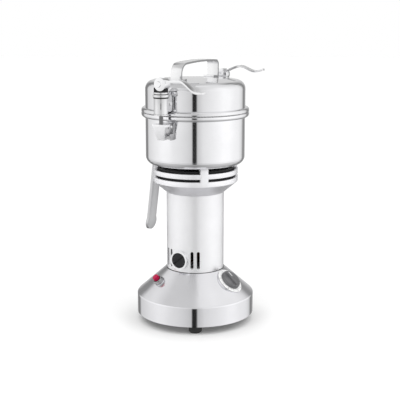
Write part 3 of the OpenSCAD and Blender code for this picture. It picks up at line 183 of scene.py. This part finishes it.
# %% Directions
world = bpy.data.worlds.new("white_tent")
scene.world = world
world.use_nodes = True
sky = world.node_tree
sky.nodes.clear()
direction = add_node(sky, "ShaderNodeTexCoord").outputs["Generated"]
parts = add_node(sky, "ShaderNodeSeparateXYZ")
link(sky, direction, parts.inputs[0])
forward = math_node(sky, "MULTIPLY", parts.outputs["Y"], -1.0)
turn = math_node(sky, "ARCTAN2", parts.outputs["X"], forward)
around = math_node(sky, "ADD", math_node(sky, "DIVIDE", turn, 2 * math.pi), 0.5)
height = math_node(sky, "ADD", math_node(sky, "MULTIPLY", parts.outputs["Z"], 0.5), 0.5)
print("world:", world.name)

# %% [markdown]
# The walls give way to the roof panel near the top, the whole tent dims towards the ground, and the
# slit is taken away from what is left. Lid and bowl mirror its upper half and the base its lower
# end. Between them, at the height that the column mirrors, it is nearly closed, because the brushed
# column shows no line.

# %% Reflected tent
walls = ramp(sky, around, TENT_STOPS)
to_roof = math_node(sky, "SUBTRACT", ramp(sky, around, ROOF_STOPS), walls)
overhead = math_node(sky, "MULTIPLY", to_roof, ramp(sky, height, ROOF_HEIGHT))
panels = math_node(sky, "ADD", walls, overhead)
tent = math_node(sky, "MULTIPLY", panels, ramp(sky, height, TENT_HEIGHT))
slit = math_node(sky, "MULTIPLY", ramp(sky, around, SLIT_STOPS), ramp(sky, height, SLIT_HEIGHT))
reflected = math_node(sky, "MULTIPLY", tent, math_node(sky, "SUBTRACT", 1.0, slit))
tent_light = add_node(sky, "ShaderNodeBackground", Strength=TENT_LEVEL)
link(sky, reflected, tent_light.inputs["Color"])
print("tent level:", TENT_LEVEL)

# %% [markdown]
# Only glossy rays see the tent. Matte surfaces and the floor are lit by a plain room, which is bright
# overhead and along the horizon, so that the tent's panels cast no streaks on the paper and the
# shadow under the base stays soft. The camera sees plain white.

# %% Plain room
ROOM_HEIGHT = [
    (0.0, 0.0), (0.49, 0.2), (0.5, 0.9), (0.55, 0.6), (0.62, 0.25), (0.8, 0.6), (0.87, 1.0), (1.0, 1.0),
]
ROOM_LEVEL = 1.45

rays = add_node(sky, "ShaderNodeLightPath")
camera_ray = rays.outputs["Is Camera Ray"]
room = math_node(sky, "MULTIPLY", ramp(sky, height, ROOM_HEIGHT), ROOM_LEVEL)
unseen = math_node(sky, "SUBTRACT", 1.0, camera_ray)
backdrop = math_node(sky, "ADD", math_node(sky, "MULTIPLY", room, unseen), camera_ray)
plain_light = add_node(sky, "ShaderNodeBackground", Color=(1, 1, 1, 1))
link(sky, backdrop, plain_light.inputs["Strength"])
chosen = add_node(sky, "ShaderNodeMixShader")
link(sky, rays.outputs["Is Glossy Ray"], chosen.inputs[0])
link(sky, plain_light.outputs[0], chosen.inputs[1])
link(sky, tent_light.outputs[0], chosen.inputs[2])
world_out = add_node(sky, "ShaderNodeOutputWorld")
link(sky, chosen.outputs[0], world_out.inputs[0])
print("world nodes:", len(sky.nodes))

# %% [markdown]
# ## The floor
# The floor is a sheet of white paper that takes the grinder's soft shadow. A square would do, but a
# disc has no corner that could show from another side. A little glow that only the camera sees lifts
# the paper to white, so that only the shadow shows. The disc is hidden from reflections, because the
# tent's wall continues below it there.

# %% Floor
FLOOR_RADIUS = 6.0
FLOOR_SIDES = 96
PAPER_COLOUR = (0.86, 0.86, 0.86, 1)
PAPER_ROUGHNESS = 0.9
PAPER_GLOW = 0.09

bpy.ops.mesh.primitive_circle_add(vertices=FLOOR_SIDES, radius=FLOOR_RADIUS, fill_type="NGON")
floor = bpy.context.object
floor.name = "paper_floor"
paper, paper_tree, paper_shader = start_material(
    "white_paper", Base_Color=PAPER_COLOUR, Roughness=PAPER_ROUGHNESS, Emission_Color=(1, 1, 1, 1),
)
paper_rays = add_node(paper_tree, "ShaderNodeLightPath")
seen = math_node(paper_tree, "MULTIPLY", paper_rays.outputs["Is Camera Ray"], PAPER_GLOW)
link(paper_tree, seen, paper_shader.inputs["Emission Strength"])
floor.data.materials.append(paper)
floor.visible_glossy = False
print("floor radius:", FLOOR_RADIUS)

# %% [markdown]
# ## Two softboxes
# Two large, weak lamps stand high at the front, left and right. The room alone would light the feet,
# the caps and the knob evenly, and the lamps give them a little shape. They are hidden from
# reflections, so the steel shows the tent alone.

# %% Lamps
LAMPS = [
    ("key_softbox", (-0.9, -1.0, 1.5), 5.0),
    ("fill_softbox", (1.1, -0.8, 1.2), 4.5),
]
LAMP_SIZE = 0.9
LAMP_TARGET = Vector((0, 0, 0.2))

for name, place, watts in LAMPS:
    bpy.ops.object.light_add(type="AREA", location=place)
    lamp = bpy.context.object
    lamp.name = name
    lamp.data.size = LAMP_SIZE
    lamp.data.energy = watts
    aim = LAMP_TARGET - Vector(place)
    lamp.rotation_euler = aim.to_track_quat("-Z", "Y").to_euler()
    lamp.visible_glossy = False
print("lamps:", len(LAMPS))

# %% [markdown]
# ## Surface detail
# Nothing that has been made and handled is the same all over. The detail could come from pictures
# wrapped on each piece, but noise that reads the object's own coordinates needs no unwrapping and
# keeps its scale on large and small pieces alike. Metal and plastic share three steps: a noise on
# the surface, the swing that it gives to a value, and the fine relief that it raises.


# %% Surface helpers
NOISE_MIDDLE = 0.5
RELIEF = 0.0002


def surface_noise(tree, place, **settings):
    noise = add_node(tree, "ShaderNodeTexNoise", **settings)
    link(tree, place, noise.inputs["Vector"])
    return noise.outputs["Fac"]


def swing(tree, noise, amount):
    centred = math_node(tree, "SUBTRACT", noise, NOISE_MIDDLE)
    return math_node(tree, "MULTIPLY", centred, amount)


def add_relief(tree, shader, noise, strength):
    bump = add_node(tree, "ShaderNodeBump", Strength=strength, Distance=RELIEF)
    link(tree, noise, bump.inputs["Height"])
    link(tree, bump.outputs[0], shader.inputs["Normal"])


print("surface helpers: surface_noise, swing, add_relief")

# %% [markdown]
# ## Metal finishes
# Spun and polished steel keeps very fine turning lines that run round the axis, so its roughness and
# its bump follow the height alone, with soft cloudy smears on top from wiping. Satin steel has
# coarser lines. Castings and plated fittings are smoother with a little unevenness. One recipe
# covers them all, with the line count, the strength and the smears as its settings. A brushed tube
# and a blasted casting scatter part of the light, which a bare share below 1 gives. The base is
# polished round its skirt and brushed on its cone, so its finish turns rougher above a height.


# %% Metal recipe
TURNING_LINES = dict(Detail=4.0, Roughness=0.6)
SMEAR_CLOUDS = dict(Scale=38.0, Detail=5.0, Roughness=0.55)
TINT_FROM = 0.3
TINT_TO = 0.7
SMEAR_TINT = 0.95
SATIN_EXTRA = 0.13


def metal(
    name, colour, roughness, lines=900, line_depth=0.02, smear=0.05, stretch=(1, 1, 60), bare=1.0,
    satin_from=None,
):
    material, tree, shader = start_material(
        name, Base_Color=(*colour, 1), Metallic=bare, Roughness=roughness,
    )
    place = add_node(tree, "ShaderNodeTexCoord").outputs["Object"]
    squeeze = add_node(tree, "ShaderNodeMapping", Scale=stretch)
    link(tree, place, squeeze.inputs["Vector"])
    turning = surface_noise(tree, squeeze.outputs[0], Scale=lines / stretch[2], **TURNING_LINES)
    clouds = surface_noise(tree, place, **SMEAR_CLOUDS)
    smeared = tuple(SMEAR_TINT * channel for channel in colour)
    tint = ramp(tree, clouds, [(TINT_FROM, smeared), (TINT_TO, colour)])
    link(tree, tint, shader.inputs["Base Color"])
    wear = math_node(tree, "ADD", swing(tree, clouds, smear), swing(tree, turning, smear))
    total = math_node(tree, "ADD", wear, roughness)
    if satin_from:
        parts = add_node(tree, "ShaderNodeSeparateXYZ")
        link(tree, place, parts.inputs[0])
        above = math_node(tree, "GREATER_THAN", parts.outputs["Z"], satin_from)
        total = math_node(tree, "ADD", total, math_node(tree, "MULTIPLY", above, SATIN_EXTRA))
    link(tree, total, shader.inputs["Roughness"])
    add_relief(tree, shader, turning, line_depth)
    return material


print("metal recipe: lines, smears, bare share and satin height")

# %% [markdown]
# The big bodies come first in the list, then the fittings, which share short and coarser lines, and
# last the cutters and the motor's metals, which only show through slots and with the lid off.

# %% Metals
FITTING = dict(lines=700, smear=0.06, stretch=(1, 1, 8))
CONE_EDGE = 0.039
METALS = {
    "polished_steel": dict(colour=(0.905, 0.905, 0.922), roughness=0.07),
    # Painted shade: the lid's steel is a darker copy of the polished steel.
    "shaded_lid_steel": dict(colour=(0.84, 0.84, 0.855), roughness=0.07),
    "satin_steel": dict(
        colour=(0.965, 0.965, 0.98), roughness=0.37, lines=1400, line_depth=0.05, smear=0.1, bare=0.8,
    ),
    "spun_steel": dict(
        colour=(0.875, 0.873, 0.897), roughness=0.05, lines=1400, line_depth=0.03, smear=0.04,
        satin_from=CONE_EDGE,
    ),
    "cast_collar": dict(
        colour=(0.965, 0.963, 0.985), roughness=0.33, lines=1200, line_depth=0.03, smear=0.08, bare=0.6,
    ),
    "bright_fittings": dict(colour=(0.9, 0.9, 0.91), roughness=0.1, **FITTING),
    # Painted shade: the latch, handle, catch, rod and nut steels are darker copies of the bright fittings.
    "shaded_latch_steel": dict(colour=(0.78, 0.78, 0.79), roughness=0.08, **FITTING),
    "shaded_handle_steel": dict(colour=(0.62, 0.62, 0.63), roughness=0.3, **FITTING),
    "shaded_catch_steel": dict(colour=(0.55, 0.55, 0.56), roughness=0.28, **FITTING),
    "shaded_rod_steel": dict(colour=(0.2, 0.2, 0.205), roughness=0.2, **FITTING),
    "shaded_nut_steel": dict(colour=(0.42, 0.42, 0.425), roughness=0.12, **FITTING),
    "strap_steel": dict(colour=(0.87, 0.87, 0.875), roughness=0.1, **FITTING),
    "blade_steel": dict(
        colour=(0.7, 0.7, 0.72), roughness=0.24, lines=900, line_depth=0.08, stretch=(30, 1, 1),
    ),
    # The copper is very dark: enamelled wire is darker than bare copper, and the dark colour also paints the shade
    # inside the column's vent slots.
    "copper": dict(
        colour=(0.13, 0.06, 0.035), roughness=0.4, lines=1800, line_depth=0.2, stretch=(1, 1, 40),
    ),
    "lamination": dict(
        colour=(0.2, 0.2, 0.22), roughness=0.45, lines=2400, line_depth=0.4, stretch=(1, 1, 80),
    ),
}
finishes = {name: metal(name, **settings) for name, settings in METALS.items()}
print("metal finishes:", sorted(finishes))

# %% [markdown]
# ## Plastic and rubber finishes
# Moulded plastic and rubber are slightly grainy. A flat colour would look like paint, so a fine noise
# gives the moulded grain as bump, and a slow noise changes colour and roughness a little, as handling
# does. The dial's white, its ink, the carbon and the leads' insulation use the same recipe.


# %% Moulded recipe
GRAIN_DETAIL = 3.0
HANDLING_SCALE = 70.0
HANDLING_ROUGHNESS = 0.15


def moulded(name, colour, roughness, grain=0.15, grain_scale=1800.0, variation=0.25, gloss=0.5):
    material, tree, shader = start_material(
        name, Base_Color=(*colour, 1), Roughness=roughness, Specular_IOR_Level=gloss,
    )
    place = add_node(tree, "ShaderNodeTexCoord").outputs["Object"]
    fine = surface_noise(tree, place, Scale=grain_scale, Detail=GRAIN_DETAIL)
    slow = surface_noise(tree, place, Scale=HANDLING_SCALE, Detail=GRAIN_DETAIL)
    darker = tuple(channel * (1 - variation) for channel in colour)
    paler = tuple(channel * (1 + variation) for channel in colour)
    tint = ramp(tree, slow, [(TINT_FROM, darker), (TINT_TO, paler)])
    link(tree, tint, shader.inputs["Base Color"])
    handled = swing(tree, slow, HANDLING_ROUGHNESS)
    link(tree, math_node(tree, "ADD", handled, roughness), shader.inputs["Roughness"])
    add_relief(tree, shader, fine, grain)
    return material


print("moulded recipe: grain, variation and gloss")

# %% Plastics
PLASTICS = {
    "black_plastic": dict(colour=(0.014, 0.014, 0.016), roughness=0.45, gloss=0.3),
    "rubber": dict(colour=(0.02, 0.02, 0.02), roughness=0.7, grain=0.3, grain_scale=1200.0),
    "pale_silicone": dict(colour=(0.7, 0.7, 0.71), roughness=0.5, grain=0.1, variation=0.05),
    "knob_plastic": dict(colour=(0.14, 0.14, 0.145), roughness=0.4, gloss=0.4),
    "dial_white": dict(colour=(0.9, 0.9, 0.9), roughness=0.45, grain=0.05, variation=0.02),
    "dial_ink": dict(colour=(0.06, 0.06, 0.065), roughness=0.5, grain=0.02),
    "button_red": dict(
        colour=(0.46, 0.005, 0.06), roughness=0.35, grain=0.05, variation=0.1, gloss=0.25,
    ),
    "carbon": dict(colour=(0.015, 0.015, 0.016), roughness=0.5, grain=0.4),
    "lead_insulation": dict(colour=(0.05, 0.09, 0.3), roughness=0.45),
}
for name, settings in PLASTICS.items():
    finishes[name] = moulded(name, **settings)
print("finishes:", len(finishes))

# %% [markdown]
# ## Dressing the CAD nodes
# Most pieces are right as they come from CAD and only need a finish. The record names a material slot
# for every node. A few nodes take another finish of the same family. The spun base, the pale gasket
# and the strap keep finishes of their own, while the darker steels on the lid, the side handle, the
# latches, the catches, the lugs, the rods and the breaker's nut are painted shade, for the shade and
# the dark reflections that these pieces show.

# %% Dress the nodes
# Painted shade: the lid, handle, latch, catch, rod and nut steels below are darker copies of one steel.
FINISH_AND_PAINTED_SHADE = {
    "base_shell": "spun_steel",
    "lid": "shaded_lid_steel",
    "lid_gasket": "pale_silicone",
    "side_handle": "shaded_handle_steel",
    "lid_handle": "strap_steel",
    "front_barrel": "shaded_latch_steel",
    "rear_barrel": "shaded_latch_steel",
    "front_rod": "shaded_rod_steel",
    "rear_rod": "shaded_rod_steel",
    "breaker_nut": "shaded_nut_steel",
    "bowl_catches": "shaded_catch_steel",
    "latch_lugs": "shaded_catch_steel",
}
slot_of = {entry["node"]: entry["material_slot"] for entry in frame["record"]["subparts"]}
for name, node in nodes.items():
    node.data.materials.clear()
    node.data.materials.append(finishes[FINISH_AND_PAINTED_SHADE.get(name, slot_of[name])])
print("dressed:", len(nodes))

# %% [markdown]
# ## Eased edges
# A CAD edge is perfectly sharp, and a real one never is: sheet is deburred, castings and mouldings
# have radii, and each radius catches a thin line of light. A material could fake the radius, but the
# mesh would stay sharp, so the edges are truly rounded. A copy of the node is merged into one skin,
# its flat triangles are dissolved into whole faces, and a small bevel follows every sharp edge. The
# copy then stands for the node. Each width is in millimetres, as a drawing would give it.

# %% Finishing a piece
body_of = {
    node: body
    for body, names in frame["record"]["behaviour"]["bodies"].items()
    for node in names
}


def make_active(piece):
    bpy.ops.object.select_all(action="DESELECT")
    piece.select_set(True)
    bpy.context.view_layer.objects.active = piece


def finish_piece(piece, body, slot, stands_for=None, finish=None):
    piece.data.materials.clear()
    piece.data.materials.append(finishes[finish or slot])
    if stands_for:
        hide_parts(stands_for)
    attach(piece, body)


print("nodes on bodies:", len(body_of))

# %% Easing a copy
MERGE_WITHIN = 0.000002
FLAT_WITHIN = math.radians(0.5)
SHARP_FROM = math.radians(35)
SMOOTH_BELOW = math.radians(30)
EASED_STEPS = 3


def eased_copy(node, width):
    piece = bpy.data.objects.new(node + "_eased", nodes[node].data.copy())
    scene.collection.objects.link(piece)
    make_active(piece)
    bpy.ops.mesh.customdata_custom_splitnormals_clear()
    bpy.ops.object.mode_set(mode="EDIT")
    bpy.ops.mesh.select_all(action="SELECT")
    bpy.ops.mesh.remove_doubles(threshold=MERGE_WITHIN)
    bpy.ops.mesh.dissolve_limited(angle_limit=FLAT_WITHIN)
    bpy.ops.object.mode_set(mode="OBJECT")
    bevel = piece.modifiers.new("eased", "BEVEL")
    bevel.width = width
    bevel.segments = EASED_STEPS
    bevel.limit_method = "ANGLE"
    bevel.angle_limit = SHARP_FROM
    bpy.ops.object.modifier_apply(modifier="eased")
    bpy.ops.object.shade_smooth_by_angle(angle=SMOOTH_BELOW)
    finish_piece(piece, body_of[node], slot_of[node], node, FINISH_AND_PAINTED_SHADE.get(node))
    return len(piece.data.polygons)


print("bevel steps:", EASED_STEPS)

# %% Ease the edges
MM = 0.001
EASED_MM = {
    "lid_handle": 0.6,
    "front_lever": 0.8,
    "rear_lever": 0.8,
    "side_handle": 0.9,
    "front_claw": 0.5,
    "rear_claw": 0.5,
    "bowl_catches": 0.3,
    "latch_lugs": 0.3,
    "front_barrel": 0.3,
    "rear_barrel": 0.3,
    "timer_knob": 0.7,
    "brush_caps": 0.3,
    "vent_collar": 0.4,
    "dial_plate": 0.25,
}
for node, width in EASED_MM.items():
    print("eased", node, eased_copy(node, width * MM))

# %% [markdown]
# ## The strap's sheared and shaded sides
# A strap is cut from polished sheet with shears, and only its wide faces keep the polish, so the narrow
# sides are rougher. Their much darker colour is painted shade, for the dark outline that shade and dark
# reflections draw along the lid's handle. Strips of their own would have to follow each bend, so the
# strap's own faces that look along its width take a second finish instead.

# %% Sheared and shaded sides
HANDLE_TURN = math.radians(-31)
SIDE_COSINE = 0.8
strap_width = Matrix.Rotation(HANDLE_TURN, 3, "Z") @ Vector((1, 0, 0))


def second_finish(piece_name, material, wanted):
    mesh = bpy.data.objects[piece_name].data
    mesh.materials.append(material)
    chosen_faces = [face for face in mesh.polygons if wanted(face)]
    for face in chosen_faces:
        face.material_index = 1
    return len(chosen_faces)


def along_strap_width(face):
    return abs(face.normal.dot(strap_width)) > SIDE_COSINE


# Rough sheared sides, with a dark colour that paints the shade along the strap's edges.
sheared_shaded_steel = metal("sheared_shaded_steel", (0.3, 0.3, 0.305), 0.35, lines=700, stretch=(1, 1, 8))
print("sheared faces:", second_finish("lid_handle_eased", sheared_shaded_steel, along_strap_width))

# %% [markdown]
# ## The funnel's painted shade
# The collar is cast and blasted. Its funnel looks outwards and down, away from the light, so a darker
# copy of the collar's finish paints shade on it. Its faces are the ones that look outwards and down by
# the slope of the cone, and they take a second finish as the strap's sides do.

# %% Painted funnel shade
FUNNEL_FLATTEST = -0.87
FUNNEL_STEEPEST = -0.68
# Painted shade: the funnel takes the collar's recipe in this darker colour.
FUNNEL_SHADE_COLOUR = (0.735, 0.732, 0.757)


def on_funnel(face):
    outward = face.normal.x * face.center.x + face.normal.y * face.center.y
    return outward > 0 and FUNNEL_FLATTEST < face.normal.z < FUNNEL_STEEPEST


painted_shade_collar = metal("painted_shade_collar", **{**METALS["cast_collar"], "colour": FUNNEL_SHADE_COLOUR})
print("funnel faces:", second_finish("vent_collar_eased", painted_shade_collar, on_funnel))

# %% [markdown]
# ## The timer's dial
# The white dial is printed with a fine scale and small numerals that show round the knob's lower
# rim. Nodes could draw the ticks but hardly the numerals, so all of it is a very thin raised print.
# Ticks are thin blocks, copied round the circle, and the numerals are text made into mesh. They are
# laid out flat round the origin, joined, and then moved onto the sloping dial in one go. The timer's
# own joint gives the middle of the dial and the way that it faces.

# %% Dial frame
JOINTS = {joint["name"]: joint for joint in frame["joints"]}
UP = Vector((0, 0, 1))

timer = JOINTS["timer_turn"]
dial_out = -Vector(timer["axis"]).normalized()
dial_up = (UP - dial_out * dial_out.z).normalized()
dial_right = dial_up.cross(dial_out)
dial_frame = Matrix((dial_right, dial_up, dial_out)).transposed().to_4x4()
dial_frame.translation = Vector(timer["pos_m"])
print("dial looks along:", tuple(dial_out))

# %% Ticks and numerals
DIAL_TOP = 0.0013
NUMERAL_EVERY = 30
TICK_R = 0.0160
TICK = (0.0002, 0.0008)
LONG_TICK = (0.00032, 0.0013)
NUMERAL_R = 0.0180
NUMERAL_SIZE = 0.0024
PRINT_H = 0.00004


def around_dial(degrees, radius):
    angle = math.radians(degrees)
    return Vector((radius * math.sin(angle), radius * math.cos(angle), DIAL_TOP + PRINT_H / 2))


def add_tick(degrees, size):
    bpy.ops.mesh.primitive_cube_add(size=1, location=around_dial(degrees, TICK_R))
    tick = bpy.context.object
    tick.scale = (*size, PRINT_H)
    tick.rotation_euler.z = -math.radians(degrees)
    return tick


def add_numeral(degrees):
    bpy.ops.object.text_add(location=around_dial(degrees, NUMERAL_R))
    numeral = bpy.context.object
    numeral.data.body = str(degrees // NUMERAL_EVERY)
    numeral.data.size = NUMERAL_SIZE
    numeral.data.extrude = PRINT_H / 2
    numeral.data.align_x = "CENTER"
    numeral.data.align_y = "CENTER"
    numeral.rotation_euler.z = -math.radians(degrees)
    bpy.ops.object.convert(target="MESH")
    return bpy.context.object


print("a numeral every", NUMERAL_EVERY, "degrees")

# %% Dial print
DIAL_SWEEP = 300
TICK_EVERY = 10

prints = []
for degrees in range(0, DIAL_SWEEP + 1, TICK_EVERY):
    numbered = degrees % NUMERAL_EVERY == 0
    prints.append(add_tick(degrees, LONG_TICK if numbered else TICK))
    if numbered:
        prints.append(add_numeral(degrees))
bpy.ops.object.select_all(action="DESELECT")
for piece in prints:
    piece.select_set(True)
bpy.context.view_layer.objects.active = prints[0]
bpy.ops.object.transform_apply(location=True, rotation=True, scale=True)
bpy.ops.object.join()
dial_print = bpy.context.object
dial_print.name = "dial_print"
dial_print.data.transform(dial_frame)
finish_piece(dial_print, "base", "dial_white", finish="dial_ink")
print("ticks and numerals:", len(prints), "faces:", len(dial_print.data.polygons))

# %% [markdown]
# ## The knob's pointer
# A short white line on the grip bar shows where the timer stands. Such a line is often a filled
# groove. A thin strip looks the same, turns with the knob and needs no cut in it. It starts as a
# cube, is stretched to a strip, and its edges are eased with a bevel before it is moved into place.

# %% Knob pointer
GRIP_TOP = 0.0091
POINTER = (0.0011, 0.0075, 0.00024)
POINTER_OUT = 0.0062
POINTER_EDGE = 0.00007

bpy.ops.mesh.primitive_cube_add(size=1, location=(0, POINTER_OUT, GRIP_TOP + POINTER[2] / 4))
pointer = bpy.context.object
pointer.name = "knob_pointer"
pointer.scale = POINTER
bpy.ops.object.transform_apply(location=True, rotation=True, scale=True)
bpy.ops.object.mode_set(mode="EDIT")
bpy.ops.mesh.select_all(action="SELECT")
bpy.ops.mesh.bevel(offset=POINTER_EDGE, segments=2)
bpy.ops.object.mode_set(mode="OBJECT")
pointer.data.transform(dial_frame)
finish_piece(pointer, "timer_knob", "dial_white")
print("pointer faces:", len(pointer.data.polygons))

# %% [markdown]
# ## Spot welds on the lid handle
# The strap's feet are spot welded to the lid, which leaves two shallow round marks on each foot.
# A cap cut from a sphere would have far too many faces for so small a mark. Here it is a disc that is
# extruded, and whose top is inset and raised twice to a low dome. Four copies are set on the feet,
# along the turned handle.

# %% Spot welds
WELD_R = 0.0021
WELD_H = 0.0004
WELD_SIDES = 24
WELD_WALL = 0.5
WELD_INSET = 0.35
WELD_RISES = (0.35, 0.15)
WELD_SMOOTH = math.radians(40)
WELD_PLACES = [(x, y) for x in (-0.0042, 0.0042) for y in (-0.0418, 0.0418)]
WELD_Z = 0.34355

bpy.ops.mesh.primitive_circle_add(vertices=WELD_SIDES, radius=WELD_R, fill_type="NGON")
weld = bpy.context.object
bpy.ops.object.mode_set(mode="EDIT")
bpy.ops.mesh.select_all(action="SELECT")
bpy.ops.mesh.extrude_region_move(TRANSFORM_OT_translate={"value": (0, 0, WELD_H * WELD_WALL)})
for rise in WELD_RISES:
    bpy.ops.mesh.inset(thickness=WELD_R * WELD_INSET)
    bpy.ops.transform.translate(value=(0, 0, WELD_H * rise))
bpy.ops.mesh.select_all(action="SELECT")
bpy.ops.mesh.normals_make_consistent(inside=False)
bpy.ops.object.mode_set(mode="OBJECT")
bpy.ops.object.shade_smooth_by_angle(angle=WELD_SMOOTH)
for number, (x, y) in enumerate(WELD_PLACES, start=1):
    mark = bpy.data.objects.new(f"handle_weld_{number}", weld.data.copy())
    scene.collection.objects.link(mark)
    mark.data.transform(Matrix.Rotation(HANDLE_TURN, 4, "Z") @ Matrix.Translation((x, y, WELD_Z)))
    finish_piece(mark, "lid", "polished_steel")
bpy.data.objects.remove(weld)
print("welds:", len(WELD_PLACES))

# %% [markdown]
# ## The dark bead at the foot of the column
# Where the column stands on the cone, a thin dark bead draws a fine line round the foot. It is painted
# shade for the seam there. It is a slender ring, half sunk in the corner. It starts as a torus, which
# edit mode then squeezes a little.

# %% Shade bead
BEAD_RING_R = 0.0405
BEAD_R = 0.0006
BEAD_Z = 0.0754
BEAD_STEPS = (160, 12)
SQUEEZE = 0.92


def squeezed_ring(name, centre, ring_r, wire_r, steps):
    bpy.ops.mesh.primitive_torus_add(
        location=centre, major_radius=ring_r, minor_radius=wire_r,
        major_segments=steps[0], minor_segments=steps[1],
    )
    ring = bpy.context.object
    ring.name = name
    bpy.ops.object.transform_apply(location=True, rotation=True, scale=True)
    bpy.ops.object.mode_set(mode="EDIT")
    bpy.ops.mesh.select_all(action="SELECT")
    bpy.ops.transform.resize(value=(1, 1, SQUEEZE), center_override=centre)
    bpy.ops.object.mode_set(mode="OBJECT")
    bpy.ops.object.shade_smooth()
    return ring


# Painted shade: a dark ring in the rubber finish stands for the shadow in the seam round the column's foot.
shade_bead = squeezed_ring("column_shade_bead", (0, 0, BEAD_Z), BEAD_RING_R, BEAD_R, BEAD_STEPS)
finish_piece(shade_bead, "base", "rubber")
print("bead faces:", len(shade_bead.data.polygons), "height:", shade_bead.dimensions.z)

# %% [markdown]
# ## Dark rings on the latches
# Under the collar of each latch barrel sits a dark ring, and a thinner one fills the groove above it.
# They are painted shade for the gap and the groove under the barrel's head. Each is a squeezed ring
# on the barrel's own axis, which the lever's joint gives. A row holds a ring's name, its radius, the
# radius of its wire and its height.

# %% Latch rings
LATCH_SHADE_RINGS = [("low", 0.0094, 0.0009, 0.3228), ("high", 0.0088, 0.0005, 0.32745)]
RING_STEPS = (72, 10)

for side in ("front", "rear"):
    x, y, _ = JOINTS[side + "_lever_turn"]["pos_m"]
    for level, ring_r, wire_r, z in LATCH_SHADE_RINGS:
        ring = squeezed_ring(f"{side}_ring_{level}", (x, y, z), ring_r, wire_r, RING_STEPS)
        # The rubber finish here paints the shade under the barrel's head.
        finish_piece(ring, side + "_latch", "rubber")
print("latch rings:", 2 * len(LATCH_SHADE_RINGS))
